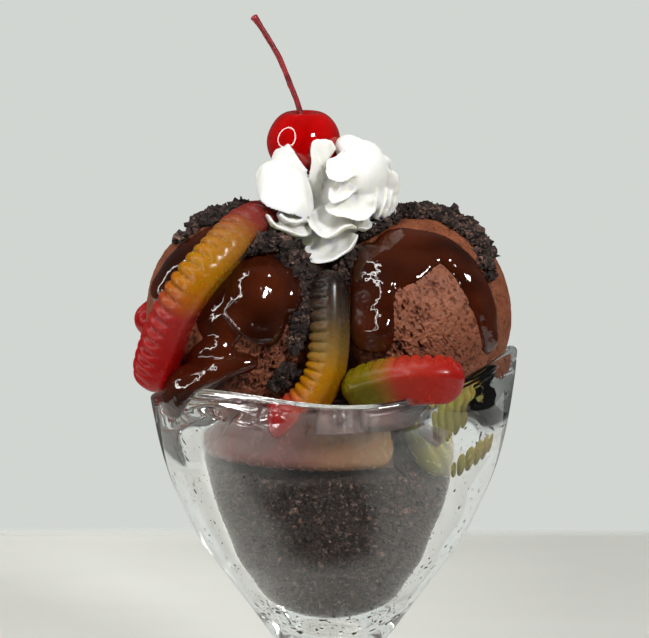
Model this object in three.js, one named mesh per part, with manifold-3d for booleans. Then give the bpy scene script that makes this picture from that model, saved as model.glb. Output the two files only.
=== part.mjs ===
// An ice cream sundae in its footed tulip glass.
//
// Millimetres, +Z up. The origin is the centre of the glass foot's flat
// underside. The front of the sundae, where the sweets and the sauce show,
// looks along -Y, and +X is to its right.
//
// Order of making: the glass and its hollow, the cookie crumbs and the pressed
// ice cream in it, three scoops with sauce and crumbs on them, the gummy
// worms, the whipped cream and the cherry. Soft food is cut back by GAP from
// every harder or earlier piece that it meets.

import * as THREE from "three";
import { mergeVertices } from "three/addons/utils/BufferGeometryUtils.js";
import Module from "manifold-3d";

const wasm = await Module();
wasm.setup();

// ---------------------------------------------------------------- dimensions

const GAP = 0.35; // clearance between two pieces that touch
const WORM_GAP = 0.55; // the same round a worm, whose bends a cutter follows less closely

// Glass: a thick pressed tulip bowl with four broad petals on a round foot.
const RIM_HEIGHT = 121.8; // mean height of the wavy rim
const LIP_WIDTH = 2.6; // thickness of the rounded lip
const WAVE_START = 72; // height where the rim's wave begins to show
const PETALS = 4;
const PETAL_CREASE = THREE.MathUtils.degToRad(-46); // azimuth of one crease
const PETAL_BULGE = 1.4; // how far a petal stands out of its creases
const GLASS_COLUMNS = 40; // facets round the glass, a multiple of PETALS

// Radius of the outside of the glass at each height.
const OUTSIDE = [
  [0, 37], [1.2, 38], [4, 38], [6.5, 35], [10, 26.5], [15, 15], [21, 8.6], [27, 7.4],
  [33, 9.6], [38.5, 8.2], [44, 9.4], [54.4, 16.2], [62.6, 21.7], [72.9, 28.9], [80, 33.7],
  [88.3, 37.4], [96, 40.7], [106.6, 43.8], [119.2, 46.1], [126.9, 46.8], [134, 47.2],
];
// Radius of the hollow at each height, where the rim is at its mean height.
const HOLLOW = [
  [57, 0], [58, 5.6], [60.5, 10], [65, 14.9], [72.9, 20.6], [80, 25], [93, 30.4],
  [100, 33.2], [112, 38.6], [119, 42.6], [121.8, 43.9],
];
const HOLLOW_FLOOR = 57;
const HOLLOW_HEIGHTS = [118.5, 112, 102, 91, 80, 70, 62, 58];

// Cookie crumbs fill the hollow up to here, and pressed ice cream lies on them.
const CRUMB_LEVEL = 103;
const BED_LEVEL = 117.5;

// Scoops: centre and radius.
const LEFT = { centre: [-21.4, -9, 139], radius: 24.6 };
const RIGHT = { centre: [20.9, -8, 137.6], radius: 24.2 };
const BACK = { centre: [0.5, 21, 138], radius: 24.8 };
const SCOOP_RELIEF = 0.55; // depth of the rough scooped surface
const SAUCE_THICKNESS = 2.1;
const SAUCE_SINK = 1.0; // how far the edge of the sauce sinks into a scoop

// Gummy worms.
const WORM_HALF_WIDTH = 6;
const FLAT_SHARE = 0.75; // how far down its half-width a worm is cut flat
const RIDGE_PITCH = 2.6; // distance between two ridges
const RIDGE_DEPTH = 0.65;

// Cherry and its stem.
const CHERRY = { centre: [-6.7, -4, 180.3], radius: 9.1 };
const STEM_RADIUS = 0.68;
const STEM_END_RADIUS = 0.98;

// -------------------------------------------------------------- small helpers

const radians = THREE.MathUtils.degToRad;
const vector = (x, y, z) => new THREE.Vector3(x, y, z);
const clamp01 = (value) => Math.min(1, Math.max(0, value));

// A repeatable draw of numbers between 0 and 1.
function makeDraw(seed) {
  let state = seed;
  return () => {
    state = (state * 16807) % 2147483647;
    return state / 2147483647;
  };
}

// Smooth radius at a height, through the points of a profile.
function radiusAt(profile, height) {
  const last = profile.length - 1;
  if (height <= profile[0][0]) return profile[0][1];
  if (height >= profile[last][0]) return profile[last][1];
  const i = profile.findIndex((point) => point[0] > height) - 1;
  const slope = (a, b) => (profile[b][1] - profile[a][1]) / (profile[b][0] - profile[a][0]);
  const [z0, r0] = profile[i];
  const [z1, r1] = profile[i + 1];
  const span = z1 - z0;
  const u = (height - z0) / span;
  const start = slope(Math.max(i - 1, 0), i + 1) * span;
  const end = slope(i, Math.min(i + 2, last)) * span;
  return (
    r0 * (1 + 2 * u) * (1 - u) ** 2 +
    start * u * (1 - u) ** 2 +
    r1 * u ** 2 * (3 - 2 * u) -
    end * u ** 2 * (1 - u)
  );
}

// Smooth lumps: a sum of waves with no common period.
function lumps(point, size) {
  const [x, y, z] = [point.x / size, point.y / size, point.z / size];
  const broad = Math.sin(x + 1.3 * Math.sin(y)) * Math.cos(z + 0.7 * Math.sin(x + 2));
  const fine = Math.sin(2.3 * y + Math.sin(1.7 * z)) * Math.cos(2.1 * x - z);
  return 0.65 * broad + 0.35 * fine;
}

// ------------------------------------------------------- geometry and solids

// A closed skin over rings of points, with a point at the middle of each end.
function skinOverRings(rings) {
  const columns = rings[0].length;
  const middle = (ring) =>
    ring.reduce((sum, point) => sum.add(point), vector(0, 0, 0)).divideScalar(columns);
  const points = [...rings.flat(), middle(rings[0]), middle(rings.at(-1))];
  const startPoint = points.length - 2;
  const endPoint = points.length - 1;
  const lastRing = (rings.length - 1) * columns;
  const triangles = [];
  for (let column = 0; column < columns; column += 1) {
    const next = (column + 1) % columns;
    triangles.push(startPoint, next, column);
    triangles.push(endPoint, lastRing + column, lastRing + next);
    for (let ring = 0; ring < rings.length - 1; ring += 1) {
      const low = ring * columns;
      const high = low + columns;
      triangles.push(low + column, low + next, high + next);
      triangles.push(low + column, high + next, high + column);
    }
  }
  const geometry = new THREE.BufferGeometry();
  geometry.setAttribute(
    "position",
    new THREE.Float32BufferAttribute(points.flatMap((point) => point.toArray()), 3),
  );
  geometry.setIndex(triangles);
  return geometry;
}

// Signed volume: negative when the faces point inwards.
function volumeOf(geometry) {
  const position = geometry.attributes.position;
  const index = geometry.index;
  const corner = (i) => vector().fromBufferAttribute(position, index.getX(i));
  let sum = 0;
  for (let i = 0; i < index.count; i += 3) {
    sum += corner(i).dot(corner(i + 1).cross(corner(i + 2))) / 6;
  }
  return sum;
}

// A manifold solid from a closed geometry.
function toSolid(source) {
  let geometry = source.clone();
  geometry.deleteAttribute("normal");
  geometry.deleteAttribute("uv");
  geometry = mergeVertices(geometry, 1e-4);
  const triVerts = new Uint32Array(geometry.index.array);
  if (volumeOf(geometry) < 0) {
    for (let i = 0; i < triVerts.length; i += 3) {
      [triVerts[i + 1], triVerts[i + 2]] = [triVerts[i + 2], triVerts[i + 1]];
    }
  }
  const vertProperties = new Float32Array(geometry.attributes.position.array);
  return new wasm.Manifold(new wasm.Mesh({ numProp: 3, vertProperties, triVerts }));
}

const joinAll = (solids) => solids.reduce((sum, solid) => sum.add(solid));
const cutAll = (solid, cutters) => cutters.reduce((rest, cutter) => rest.subtract(cutter), solid);

// The largest of the bodies that a cut leaves.
function mainBody(solid) {
  const bodies = solid.decompose();
  return bodies.reduce((best, body) => (body.volume() > best.volume() ? body : best));
}

// A solid ball with its surface moved along its radius by a relief function.
function ball(centre, radius, detail, relief = () => 0) {
  const geometry = new THREE.IcosahedronGeometry(1, detail);
  const position = geometry.attributes.position;
  for (let i = 0; i < position.count; i += 1) {
    const direction = vector().fromBufferAttribute(position, i).normalize();
    const point = direction.clone().multiplyScalar(radius).add(vector(...centre));
    point.addScaledVector(direction, relief(point));
    position.setXYZ(i, point.x, point.y, point.z);
  }
  return toSolid(geometry);
}

// ------------------------------------------------------------------ the glass

// Height of the rim above its mean: one long tilt and three soft waves.
function rimWave(azimuth) {
  return 5.6 * Math.cos(azimuth + radians(42)) + 3.0 * Math.cos(3 * (azimuth + radians(14)));
}

// The wave fades to nothing on the way down the bowl.
function waveAt(height, azimuth) {
  const share = clamp01((height - WAVE_START) / (RIM_HEIGHT - WAVE_START));
  return rimWave(azimuth) * share ** 1.5;
}

// How far the petals move the outside at a height: most at mid-bowl.
function petalAt(height, azimuth) {
  const fromNeck = clamp01((height - 46) / 22);
  const fromRim = clamp01((RIM_HEIGHT - 8 - height) / 18);
  const ridge = Math.abs(Math.sin((PETALS / 2) * (azimuth - PETAL_CREASE)));
  return PETAL_BULGE * fromNeck * fromRim * (ridge - 0.6);
}

const azimuths = (columns) =>
  Array.from({ length: columns }, (_, i) => PETAL_CREASE + (2 * Math.PI * i) / columns);

const polar = (radius, azimuth, height) =>
  vector(radius * Math.cos(azimuth), radius * Math.sin(azimuth), height);

// A point of the outside, and one of the hollow, moved out by grow.
function outsidePoint(height, azimuth, grow) {
  const level = height + waveAt(height, azimuth);
  return polar(radiusAt(OUTSIDE, level) + petalAt(height, azimuth) + grow, azimuth, level);
}

function hollowPoint(height, azimuth, grow) {
  const level = height + waveAt(height, azimuth);
  const lean = radiusAt(OUTSIDE, level) - radiusAt(OUTSIDE, height);
  const radius = radiusAt(HOLLOW, height) + lean + grow;
  return polar(Math.max(radius, 0.05), azimuth, level);
}

function glassGeometry(grow = 0) {
  const outsideHeights = [
    0, 1.2, 4, 6.5, 11, 17, 24, 33, 41, 49, 60, 71, 82, 93, 104, 113,
  ];
  const round = azimuths(GLASS_COLUMNS);
  const rings = outsideHeights.map((height) => round.map((az) => outsidePoint(height, az, grow)));
  const lipRadius = LIP_WIDTH / 2;
  for (const turn of [0, 45, 90, 135, 180].map(radians)) {
    const height = RIM_HEIGHT - lipRadius;
    rings.push(
      round.map((az) => {
        const edge = outsidePoint(height, az, -lipRadius);
        const out = (lipRadius + grow) * Math.cos(turn);
        const up = (lipRadius + grow) * Math.sin(turn);
        return edge.add(polar(out, az, up));
      }),
    );
  }
  rings.push(...HOLLOW_HEIGHTS.map((height) => round.map((az) => hollowPoint(height, az, -grow))));
  rings.push(round.map((az) => hollowPoint(HOLLOW_FLOOR, az, 0).add(vector(0, 0, grow))));
  return skinOverRings(rings);
}

// ------------------------------------------------------- what fills the glass

const FILL_COLUMNS = 24;

// Radius of the hollow at a level above the foot, with the wave allowed for.
function hollowRadius(level, azimuth) {
  let height = level;
  for (let i = 0; i < 6; i += 1) {
    height = level - waveAt(height, azimuth);
  }
  const wall = hollowPoint(height, azimuth, 0);
  return Math.hypot(wall.x, wall.y);
}

// The top of the crumbs is uneven, a little higher at the back.
function crumbTop(radius, azimuth) {
  const point = polar(radius, azimuth, 0);
  return CRUMB_LEVEL + 0.04 * point.y + 0.7 * lumps(point, 5);
}

// A rough level across the hollow: rings from near the wall in to the middle.
function levelRings(edgeLevel, heightAt) {
  const round = azimuths(FILL_COLUMNS);
  return [1, 0.7, 0.35].map((share) =>
    round.map((az) => {
      const radius = (hollowRadius(edgeLevel, az) - 1.3) * share;
      return polar(radius, az, heightAt(radius, az));
    }),
  );
}

function crumbBaseSolid() {
  const round = azimuths(FILL_COLUMNS);
  const heights = HOLLOW_HEIGHTS.filter((height) => height < CRUMB_LEVEL - 2).reverse();
  const sides = heights.map((height) =>
    round.map((az) => {
      const wall = hollowPoint(height, az, -0.95);
      return wall.add(polar(0.4 * lumps(wall, 2.6), az, GAP));
    }),
  );
  return toSolid(skinOverRings([...sides, ...levelRings(CRUMB_LEVEL, crumbTop)]));
}

// Ice cream pressed into the glass under the scoops, melting against the wall.
function bedTop(radius, azimuth) {
  const point = polar(radius, azimuth, 0);
  return BED_LEVEL + 0.05 * point.x + 1.2 * lumps(point, 8);
}

function bedSolid() {
  const round = azimuths(FILL_COLUMNS);
  const floor = levelRings(CRUMB_LEVEL, (radius, az) => crumbTop(radius, az) + 2.5 * GAP).reverse();
  const sides = [105, 112, 115].map((height) =>
    round.map((az) => polar(hollowRadius(height, az) - 1.5 * GAP, az, height)),
  );
  return toSolid(skinOverRings([...floor, ...sides, ...levelRings(BED_LEVEL - 1, bedTop)]));
}

// ------------------------------------------------------------------ the scoops

// A point above a scoop: azimuth and elevation in degrees, lift in mm.
function onScoop(scoop, azimuth, elevation, lift = 0) {
  const direction = vector().setFromSphericalCoords(
    1,
    radians(90 - elevation),
    radians(azimuth),
  );
  // three.js measures the polar angle from +Y, so the axes are turned to +Z up.
  const upright = vector(direction.z, direction.x, direction.y);
  return upright.multiplyScalar(scoop.radius + lift).add(vector(...scoop.centre));
}

function scoopBall(scoop) {
  const relief = (point) => SCOOP_RELIEF * lumps(point, 3.4);
  return ball(scoop.centre, scoop.radius, 3, relief);
}

// A smooth ball that clears a scoop, used to cut what it is pressed against.
function scoopCutter(scoop) {
  const facetDip = 0.4;
  return ball(scoop.centre, scoop.radius + SCOOP_RELIEF + GAP + facetDip, 2);
}

// A run of sauce down a scoop, as thick as a share of the usual thickness. Each
// station is azimuth, elevation and half-width; the run is rounded at both ends
// and sinks into the ice cream.
function sauceRun(scoop, { thickness, stations }, steps = 6, sides = 8) {
  const path = new THREE.CatmullRomCurve3(stations.map((station) => vector(...station)));
  const centre = vector(...scoop.centre);
  const rings = [];
  for (let step = 0; step <= steps; step += 1) {
    const u = 0.015 + (0.97 * step) / steps;
    const [azimuth, elevation, halfWidth] = path.getPoint(u).toArray();
    const ahead = path.getPoint(Math.min(u + 0.01, 1));
    const behind = path.getPoint(Math.max(u - 0.01, 0));
    const along = onScoop(scoop, ahead.x, ahead.y).sub(onScoop(scoop, behind.x, behind.y));
    const out = onScoop(scoop, azimuth, elevation).sub(centre).normalize();
    const across = along.cross(out).normalize();
    const round = Math.sqrt(1 - Math.abs(2 * u - 1) ** 7);
    rings.push(
      Array.from({ length: sides }, (_, side) => {
        const turn = (2 * Math.PI * side) / sides;
        const point = out.clone().multiplyScalar(scoop.radius);
        point.addScaledVector(across, halfWidth * round * Math.cos(turn));
        const height = SAUCE_THICKNESS * thickness + 1.4 * SAUCE_SINK;
        const lift = height * round * Math.sin(turn) - SAUCE_SINK;
        return point.setLength(scoop.radius + lift).add(centre);
      }),
    );
  }
  return toSolid(skinOverRings(rings));
}

// Cookie crumbs scattered round a place on a scoop, half sunk in it.
function crumbPatch(scoop, { azimuth, elevation, spread, count, seed }) {
  const draw = makeDraw(seed);
  const pieces = [];
  for (let i = 0; i < count; i += 1) {
    const reach = spread * Math.sqrt(draw());
    const turn = 2 * Math.PI * draw();
    const size = 1.9 + 1.6 * draw() ** 2;
    const up = elevation + reach * Math.sin(turn);
    const sideways = azimuth + (reach * Math.cos(turn)) / Math.max(0.35, Math.cos(radians(up)));
    const place = onScoop(scoop, sideways, up, 0.2 * size);
    const geometry = new THREE.OctahedronGeometry(size, 0);
    geometry.rotateX(3 * draw());
    geometry.rotateZ(3 * draw());
    geometry.scale(1, 0.85, 0.75 + 0.25 * draw());
    geometry.translate(place.x, place.y, place.z);
    pieces.push(toSolid(geometry));
  }
  return joinAll(pieces);
}

const LEFT_SAUCE = [
  {
    // the broad pool on the front of the left scoop
    thickness: 1.4,
    stations: [[-73, 51, 6], [-72, 38, 8.5], [-76, 25, 9.5], [-81, 13, 9.5], [-87, 2, 8.5], [-90, -2, 6]],
  },
  {
    // the thin run beside the middle worm
    thickness: 0.8,
    stations: [[-58, 46, 3], [-56, 32, 5], [-58, 18, 4.5], [-60, 8, 3]],
  },
  {
    // the thick run that hangs to the rim
    thickness: 2,
    stations: [[-96, -8, 4.6], [-104, -15, 5.6], [-112, -24, 6], [-122, -34, 5.8], [-133, -42, 4.6]],
  },
  {
    // the thin sheet between the pool and the left worm
    thickness: 0.6,
    stations: [[-104, 38, 3], [-107, 22, 5], [-107, 9, 6], [-99, -2, 6], [-93, -7, 5]],
  },
  {
    // behind the left worm, down the far left side
    thickness: 0.9,
    stations: [[-95, 69, 5], [-129, 54, 5.5], [-141, 41, 5.5], [-146, 26, 5.5], [-153, 11, 4.5]],
  },
];
const RIGHT_SAUCE = [
  {
    // the fat run beside the middle worm
    thickness: 1.35,
    stations: [
      [-144, 54, 5.5], [-127, 40, 6.4], [-120, 24, 6.6], [-118, 9, 6.6], [-119, -4, 6.2], [-120, -11, 5],
    ],
  },
  {
    // over the top of the scoop and down its right side
    thickness: 0.95,
    stations: [
      [-139, 55, 5], [-110, 61, 5.5], [-74, 58, 5], [-55, 44, 4.6], [-49, 26, 4.1], [-45, 8, 3.8],
      [-41, -16, 3],
    ],
  },
  {
    // the thin sheet between the two
    thickness: 0.5,
    stations: [[-116, 26, 4], [-104, 38, 5.5], [-91, 48, 5.5], [-72, 53, 5], [-56, 46, 4]],
  },
];
const BACK_SAUCE = [
  {
    thickness: 1,
    stations: [[-120, 70, 5], [-160, 62, 6], [-190, 40, 5.5], [-195, 20, 4.5], [-200, 4, 3.5]],
  },
  { thickness: 1, stations: [[-60, 70, 5], [20, 66, 6], [60, 44, 6], [70, 22, 5], [74, 6, 4]] },
];

const LEFT_CRUMBS = [
  { azimuth: -40, elevation: 55, spread: 14, count: 5, seed: 11 },
  { azimuth: 160, elevation: 66, spread: 20, count: 5, seed: 12 },
  { azimuth: -50, elevation: 6, spread: 14, count: 2, seed: 13 },
  { azimuth: -66, elevation: -22, spread: 12, count: 2, seed: 14 },
];
const RIGHT_CRUMBS = [
  { azimuth: 70, elevation: 68, spread: 20, count: 9, seed: 21 },
  { azimuth: -25, elevation: 60, spread: 18, count: 7, seed: 22 },
  { azimuth: -148, elevation: 18, spread: 14, count: 2, seed: 23 },
];
const BACK_CRUMBS = [
  { azimuth: 20, elevation: 62, spread: 24, count: 5, seed: 31 },
  { azimuth: 120, elevation: 48, spread: 26, count: 4, seed: 32 },
];

function dressedScoop(scoop, sauce, crumbs) {
  return joinAll([
    scoopBall(scoop),
    ...sauce.map((run) => sauceRun(scoop, run)),
    ...crumbs.map((patch) => crumbPatch(scoop, patch)),
  ]);
}

// ------------------------------------------------------------- the gummy worms

// A worm along a path, with ridges on its round side and a flat underside.
// down points from the round side to the flat one.
// A grown worm, used to cut a bed for the real one, has no ridges.
function wormGeometry({ path, down, halfWidth = WORM_HALF_WIDTH }, grow = 0) {
  const curve = new THREE.CatmullRomCurve3(path.map((point) => vector(...point)));
  const length = curve.getLength();
  const steps = grow ? Math.round(length / 4) : 2 * Math.round(length / RIDGE_PITCH);
  const stations = Array.from({ length: steps + 1 }, (_, step) => step / steps);
  if (grow) {
    const rounding = 1.5 / length;
    stations.splice(1, 0, rounding);
    stations.splice(-1, 0, 1 - rounding);
  }
  const sides = 8;
  const rings = [];
  for (const [step, u] of stations.entries()) {
    const place = curve.getPointAt(u);
    const along = curve.getTangentAt(u);
    const across = along.clone().cross(vector(...down)).normalize();
    const under = across.clone().cross(along).normalize();
    const fromEnd = Math.min(u, 1 - u) * length;
    const taper = Math.sqrt(1 - clamp01(1 - (fromEnd + 0.9) / halfWidth) ** 2);
    const ridge = step % 2 || grow ? 0 : RIDGE_DEPTH;
    rings.push(
      Array.from({ length: sides }, (_, side) => {
        const turn = (2 * Math.PI * side) / sides;
        const roundSide = Math.cos(turn) > -0.2;
        const radius = halfWidth * taper - (roundSide ? ridge : 0) + grow;
        const drop = -radius * Math.cos(turn);
        const flat = FLAT_SHARE * halfWidth * taper + grow;
        return place
          .clone()
          .addScaledVector(across, radius * Math.sin(turn))
          .addScaledVector(under, Math.min(drop, flat));
      }),
    );
  }
  // The end faces stand out by the growth too.
  const first = rings[0].map((point) => point.clone());
  first.forEach((point) => point.addScaledVector(curve.getTangentAt(0), -grow));
  const last = rings.at(-1).map((point) => point.clone());
  last.forEach((point) => point.addScaledVector(curve.getTangentAt(1), grow));
  rings[0] = first;
  rings[rings.length - 1] = last;
  return skinOverRings(rings);
}

const WORMS = {
  worm_left: {
    path: [
      [-13.2, -13.5, 162.4], [-17.4, -18, 162.3], [-21.6, -23.4, 161], [-26.1, -28.8, 157.2],
      [-31.2, -32.4, 152.2], [-35.4, -33, 146.2], [-38.4, -32.2, 140.6], [-40.6, -30.4, 134.8],
      [-42.2, -27.4, 129], [-42.8, -23.6, 123.6],
    ],
    down: [0.8, -0.27, -0.53],
  },
  worm_left_back: {
    path: [[-39, 14, 136.5], [-43.4, 5, 135], [-45.8, -4.5, 134.6]],
    down: [1, 0.1, -0.2],
    halfWidth: 4.6,
  },
  worm_middle: {
    path: [
      [-0.4, -23.6, 151.6], [-0.3, -26.4, 147.5], [-0.2, -28.9, 141], [-0.4, -30.5, 134],
      [-1.6, -31.8, 127.6], [-5.2, -32.4, 121.6], [-10.2, -31.6, 117.2], [-15.2, -29.6, 114.6],
    ],
    down: [0.9, -0.41, 0],
    halfWidth: 5.2,
  },
  worm_right: {
    path: [
      [3.6, -30.5, 122.4], [10.6, -34.2, 125.6], [16.6, -37, 127.6], [23.5, -38.6, 128.2],
      [32, -37.2, 127.7],
    ],
    down: [0, -0.93, -0.37],
  },
  worm_inner_front: {
    path: [
      [-30, -8.5, 109.5], [-24, -18, 109.2], [-13.5, -25.2, 109], [0, -28.6, 109], [15, -26.2, 109.3],
    ],
    down: [0, -1, 0.25],
    halfWidth: 5.6,
  },
  worm_inner_green: {
    path: [[31.2, -4.5, 110], [27.4, -13.5, 107.2], [20.6, -20.4, 103.6]],
    down: [-0.8, 0.5, -0.3],
  },
};

// ---------------------------------------------------- whipped cream and cherry

// Piped lobes: centre and half-sizes of each.
const CREAM_LOBES = [
  { centre: [0, -3, 165], size: [13, 11.5, 13] },
  { centre: [-15.6, -8, 172.8], size: [3.2, 4.5, 3.4] },
  { centre: [-11.5, -15, 169.5], size: [6.6, 9.2, 7] },
  { centre: [-8, -14.5, 176.6], size: [3, 4, 3.6] },
  { centre: [-4, -19.5, 171], size: [3.2, 4.2, 6.2] },
  { centre: [-1.6, -15.5, 178.6], size: [3.6, 4.2, 5] },
  { centre: [6.2, -9, 177.2], size: [6.6, 7, 6.2] },
  { centre: [13, -6, 171.6], size: [4.9, 6.5, 6.4] },
  { centre: [3.6, -16.5, 171.4], size: [5.4, 5.6, 6.2] },
  { centre: [7.8, -14, 165.4], size: [8, 9.2, 5.2] },
  { centre: [-10.8, -16, 160.6], size: [8.2, 10.6, 5] },
  { centre: [0, -16.5, 158.4], size: [7.6, 8.4, 5.4] },
  { centre: [-9.5, 5.5, 168], size: [7, 7, 7] },
  { centre: [8.5, 6, 168], size: [7.5, 7, 7.5] },
  { centre: [-0.5, 8.5, 172.5], size: [6.5, 6, 7] },
  { centre: [1, 7.5, 159.5], size: [13, 8, 5.4] },
];

// How far the lobes reach from the core's middle in a direction.
function creamReach(direction) {
  const start = vector(...CREAM_LOBES[0].centre);
  let reach = 0;
  for (const { centre, size } of CREAM_LOBES) {
    const half = vector(...size);
    const ray = direction.clone().divide(half);
    const offset = start.clone().sub(vector(...centre)).divide(half);
    const a = ray.dot(ray);
    const b = ray.dot(offset);
    const discriminant = b * b - a * (offset.dot(offset) - 1);
    if (discriminant > 0) reach = Math.max(reach, (Math.sqrt(discriminant) - b) / a);
  }
  return reach;
}

function creamSolid(grow = 0) {
  const rows = 17;
  const round = azimuths(30);
  const rings = [];
  for (let row = 0; row < rows; row += 1) {
    const elevation = Math.PI * ((row + 0.5) / rows - 0.5);
    rings.push(
      round.map((az) => {
        const direction = polar(Math.cos(elevation), az, Math.sin(elevation));
        const point = direction.clone().multiplyScalar(creamReach(direction) + 1.7 * grow);
        return point.add(vector(...CREAM_LOBES[0].centre));
      }),
    );
  }
  return toSolid(skinOverRings(rings));
}

// A cherry is a little wider than high, with a dimple where its stem sits.
function cherryGeometry(grow = 0) {
  const rows = 8;
  const columns = 16;
  const rings = [];
  for (let row = 0; row < rows; row += 1) {
    const polarAngle = (Math.PI * (row + 0.5)) / rows;
    const dimple = 2.2 * Math.exp(-((polarAngle / 0.36) ** 2));
    const height = (0.97 * CHERRY.radius + grow) * Math.cos(polarAngle) - dimple;
    const radius = (CHERRY.radius + grow) * Math.sin(polarAngle);
    rings.push(
      azimuths(columns).map((az) => polar(radius, az, height).add(vector(...CHERRY.centre))),
    );
  }
  return skinOverRings(rings.reverse());
}

// The stem's curve: sideways and up from the middle of the cherry.
const STEM_STEPS = [
  [-0.9, 7.3], [-1.8, 10.6], [-3.3, 14.2], [-4.7, 17.9], [-6.3, 21.5], [-8.4, 25.2], [-10.7, 28.9],
  [-12.4, 31.4],
];

function stemGeometry() {
  const [x, y, z] = CHERRY.centre;
  const path = new THREE.CatmullRomCurve3(
    STEM_STEPS.map((step) => vector(x + step[0], y, z + step[1])),
  );
  const steps = 12;
  const sides = 6;
  const rings = [];
  for (let step = 0; step <= steps; step += 1) {
    const u = step / steps;
    const flare = clamp01((u - 0.86) / 0.14);
    const radius = STEM_RADIUS + (STEM_END_RADIUS - STEM_RADIUS) * flare;
    const along = path.getTangentAt(u);
    const across = along.clone().cross(vector(0, 1, 0)).normalize();
    const up = across.clone().cross(along);
    rings.push(
      Array.from({ length: sides }, (_, side) => {
        const turn = (2 * Math.PI * side) / sides;
        return path
          .getPointAt(u)
          .addScaledVector(across, radius * Math.cos(turn))
          .addScaledVector(up, radius * Math.sin(turn));
      }),
    );
  }
  return skinOverRings(rings);
}

// ------------------------------------------------------------ cutting to fit

const glassGrown = toSolid(glassGeometry(GAP));
const wormSolid = (name, grow = 0) => toSolid(wormGeometry(WORMS[name], grow));
const grownWorms = Object.keys(WORMS).map((name) => wormSolid(name, WORM_GAP));
const grownWorm = Object.fromEntries(Object.keys(WORMS).map((name, i) => [name, grownWorms[i]]));
const creamGrown = creamSolid(GAP);

const crumbBase = crumbBaseSolid();
const scoopCutters = [glassGrown, ...grownWorms, creamGrown];
const leftScoop = cutAll(dressedScoop(LEFT, LEFT_SAUCE, LEFT_CRUMBS), scoopCutters);
const rightScoop = cutAll(dressedScoop(RIGHT, RIGHT_SAUCE, RIGHT_CRUMBS), [
  ...scoopCutters,
  scoopCutter(LEFT),
]);
const backScoop = cutAll(dressedScoop(BACK, BACK_SAUCE, BACK_CRUMBS), [
  ...scoopCutters,
  scoopCutter(LEFT),
  scoopCutter(RIGHT),
]);
const bed = cutAll(bedSolid(), [
  grownWorm.worm_middle,
  grownWorm.worm_inner_front,
  grownWorm.worm_inner_green,
  scoopCutter(LEFT),
  scoopCutter(RIGHT),
  scoopCutter(BACK),
]);

const pieces = {
  glass: toSolid(glassGeometry()),
  cookie_crumb_base: cutAll(crumbBase, [grownWorm.worm_inner_green, grownWorm.worm_inner_front]),
  ice_cream_bed: bed,
  scoop_left: leftScoop,
  scoop_right: rightScoop,
  scoop_back: backScoop,
  worm_left: cutAll(wormSolid("worm_left"), [glassGrown, creamGrown]),
  worm_left_back: cutAll(wormSolid("worm_left_back"), [grownWorm.worm_left, glassGrown]),
  worm_middle: cutAll(wormSolid("worm_middle"), [glassGrown, creamGrown]),
  worm_right: cutAll(wormSolid("worm_right"), [grownWorm.worm_middle, glassGrown]),
  worm_inner_front: cutAll(wormSolid("worm_inner_front"), [grownWorm.worm_middle, glassGrown]),
  worm_inner_green: cutAll(wormSolid("worm_inner_green"), [grownWorm.worm_inner_front, glassGrown]),
  whipped_cream: cutAll(creamSolid(), [toSolid(cherryGeometry(GAP))]),
  cherry: toSolid(cherryGeometry()),
  cherry_stem: toSolid(stemGeometry()),
};

// ----------------------------------------------------------------- the scene

const LOOKS = {
  glass: { color: 0xe6eeee, roughness: 0.03, metalness: 0, transparent: true, opacity: 0.35 },
  cookie: { color: 0x1d1615, roughness: 0.9, metalness: 0 },
  chocolate: { color: 0x6b4234, roughness: 0.6, metalness: 0 },
  gummy_red: { color: 0xb5202a, roughness: 0.2, metalness: 0 },
  gummy_green: { color: 0x8d8a2a, roughness: 0.2, metalness: 0 },
  cream: { color: 0xf6f3ea, roughness: 0.5, metalness: 0 },
  cherry: { color: 0xb80d18, roughness: 0.08, metalness: 0 },
  stem: { color: 0x6e1218, roughness: 0.4, metalness: 0 },
};
const FINISH = {
  glass: "glass",
  cookie_crumb_base: "cookie",
  ice_cream_bed: "chocolate",
  scoop_left: "chocolate",
  scoop_right: "chocolate",
  scoop_back: "chocolate",
  worm_inner_green: "gummy_green",
  whipped_cream: "cream",
  cherry: "cherry",
  cherry_stem: "stem",
};

function toMesh(name, solid) {
  const { vertProperties, triVerts } = mainBody(solid).getMesh();
  const geometry = new THREE.BufferGeometry();
  geometry.setAttribute("position", new THREE.Float32BufferAttribute(vertProperties, 3));
  geometry.setIndex([...triVerts]);
  geometry.computeVertexNormals();
  const material = new THREE.MeshStandardMaterial(LOOKS[FINISH[name] ?? "gummy_red"]);
  const mesh = new THREE.Mesh(geometry, material);
  mesh.name = name;
  return mesh;
}

const sundae = new THREE.Group();
for (const [name, solid] of Object.entries(pieces)) {
  sundae.add(toMesh(name, solid));
}

export default sundae;
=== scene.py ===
# %% [markdown]
# # A chocolate sundae in a tulip glass
#
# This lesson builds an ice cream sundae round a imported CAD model, which gives the
# true sizes and places. Each step says what a piece is on the real sundae, how it
# could be made, and why it is made this way here. All lengths are in millimetres
# until a mesh is stored, because kitchen things are easier to think of that way.

# %% Load the frame
import math

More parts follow.
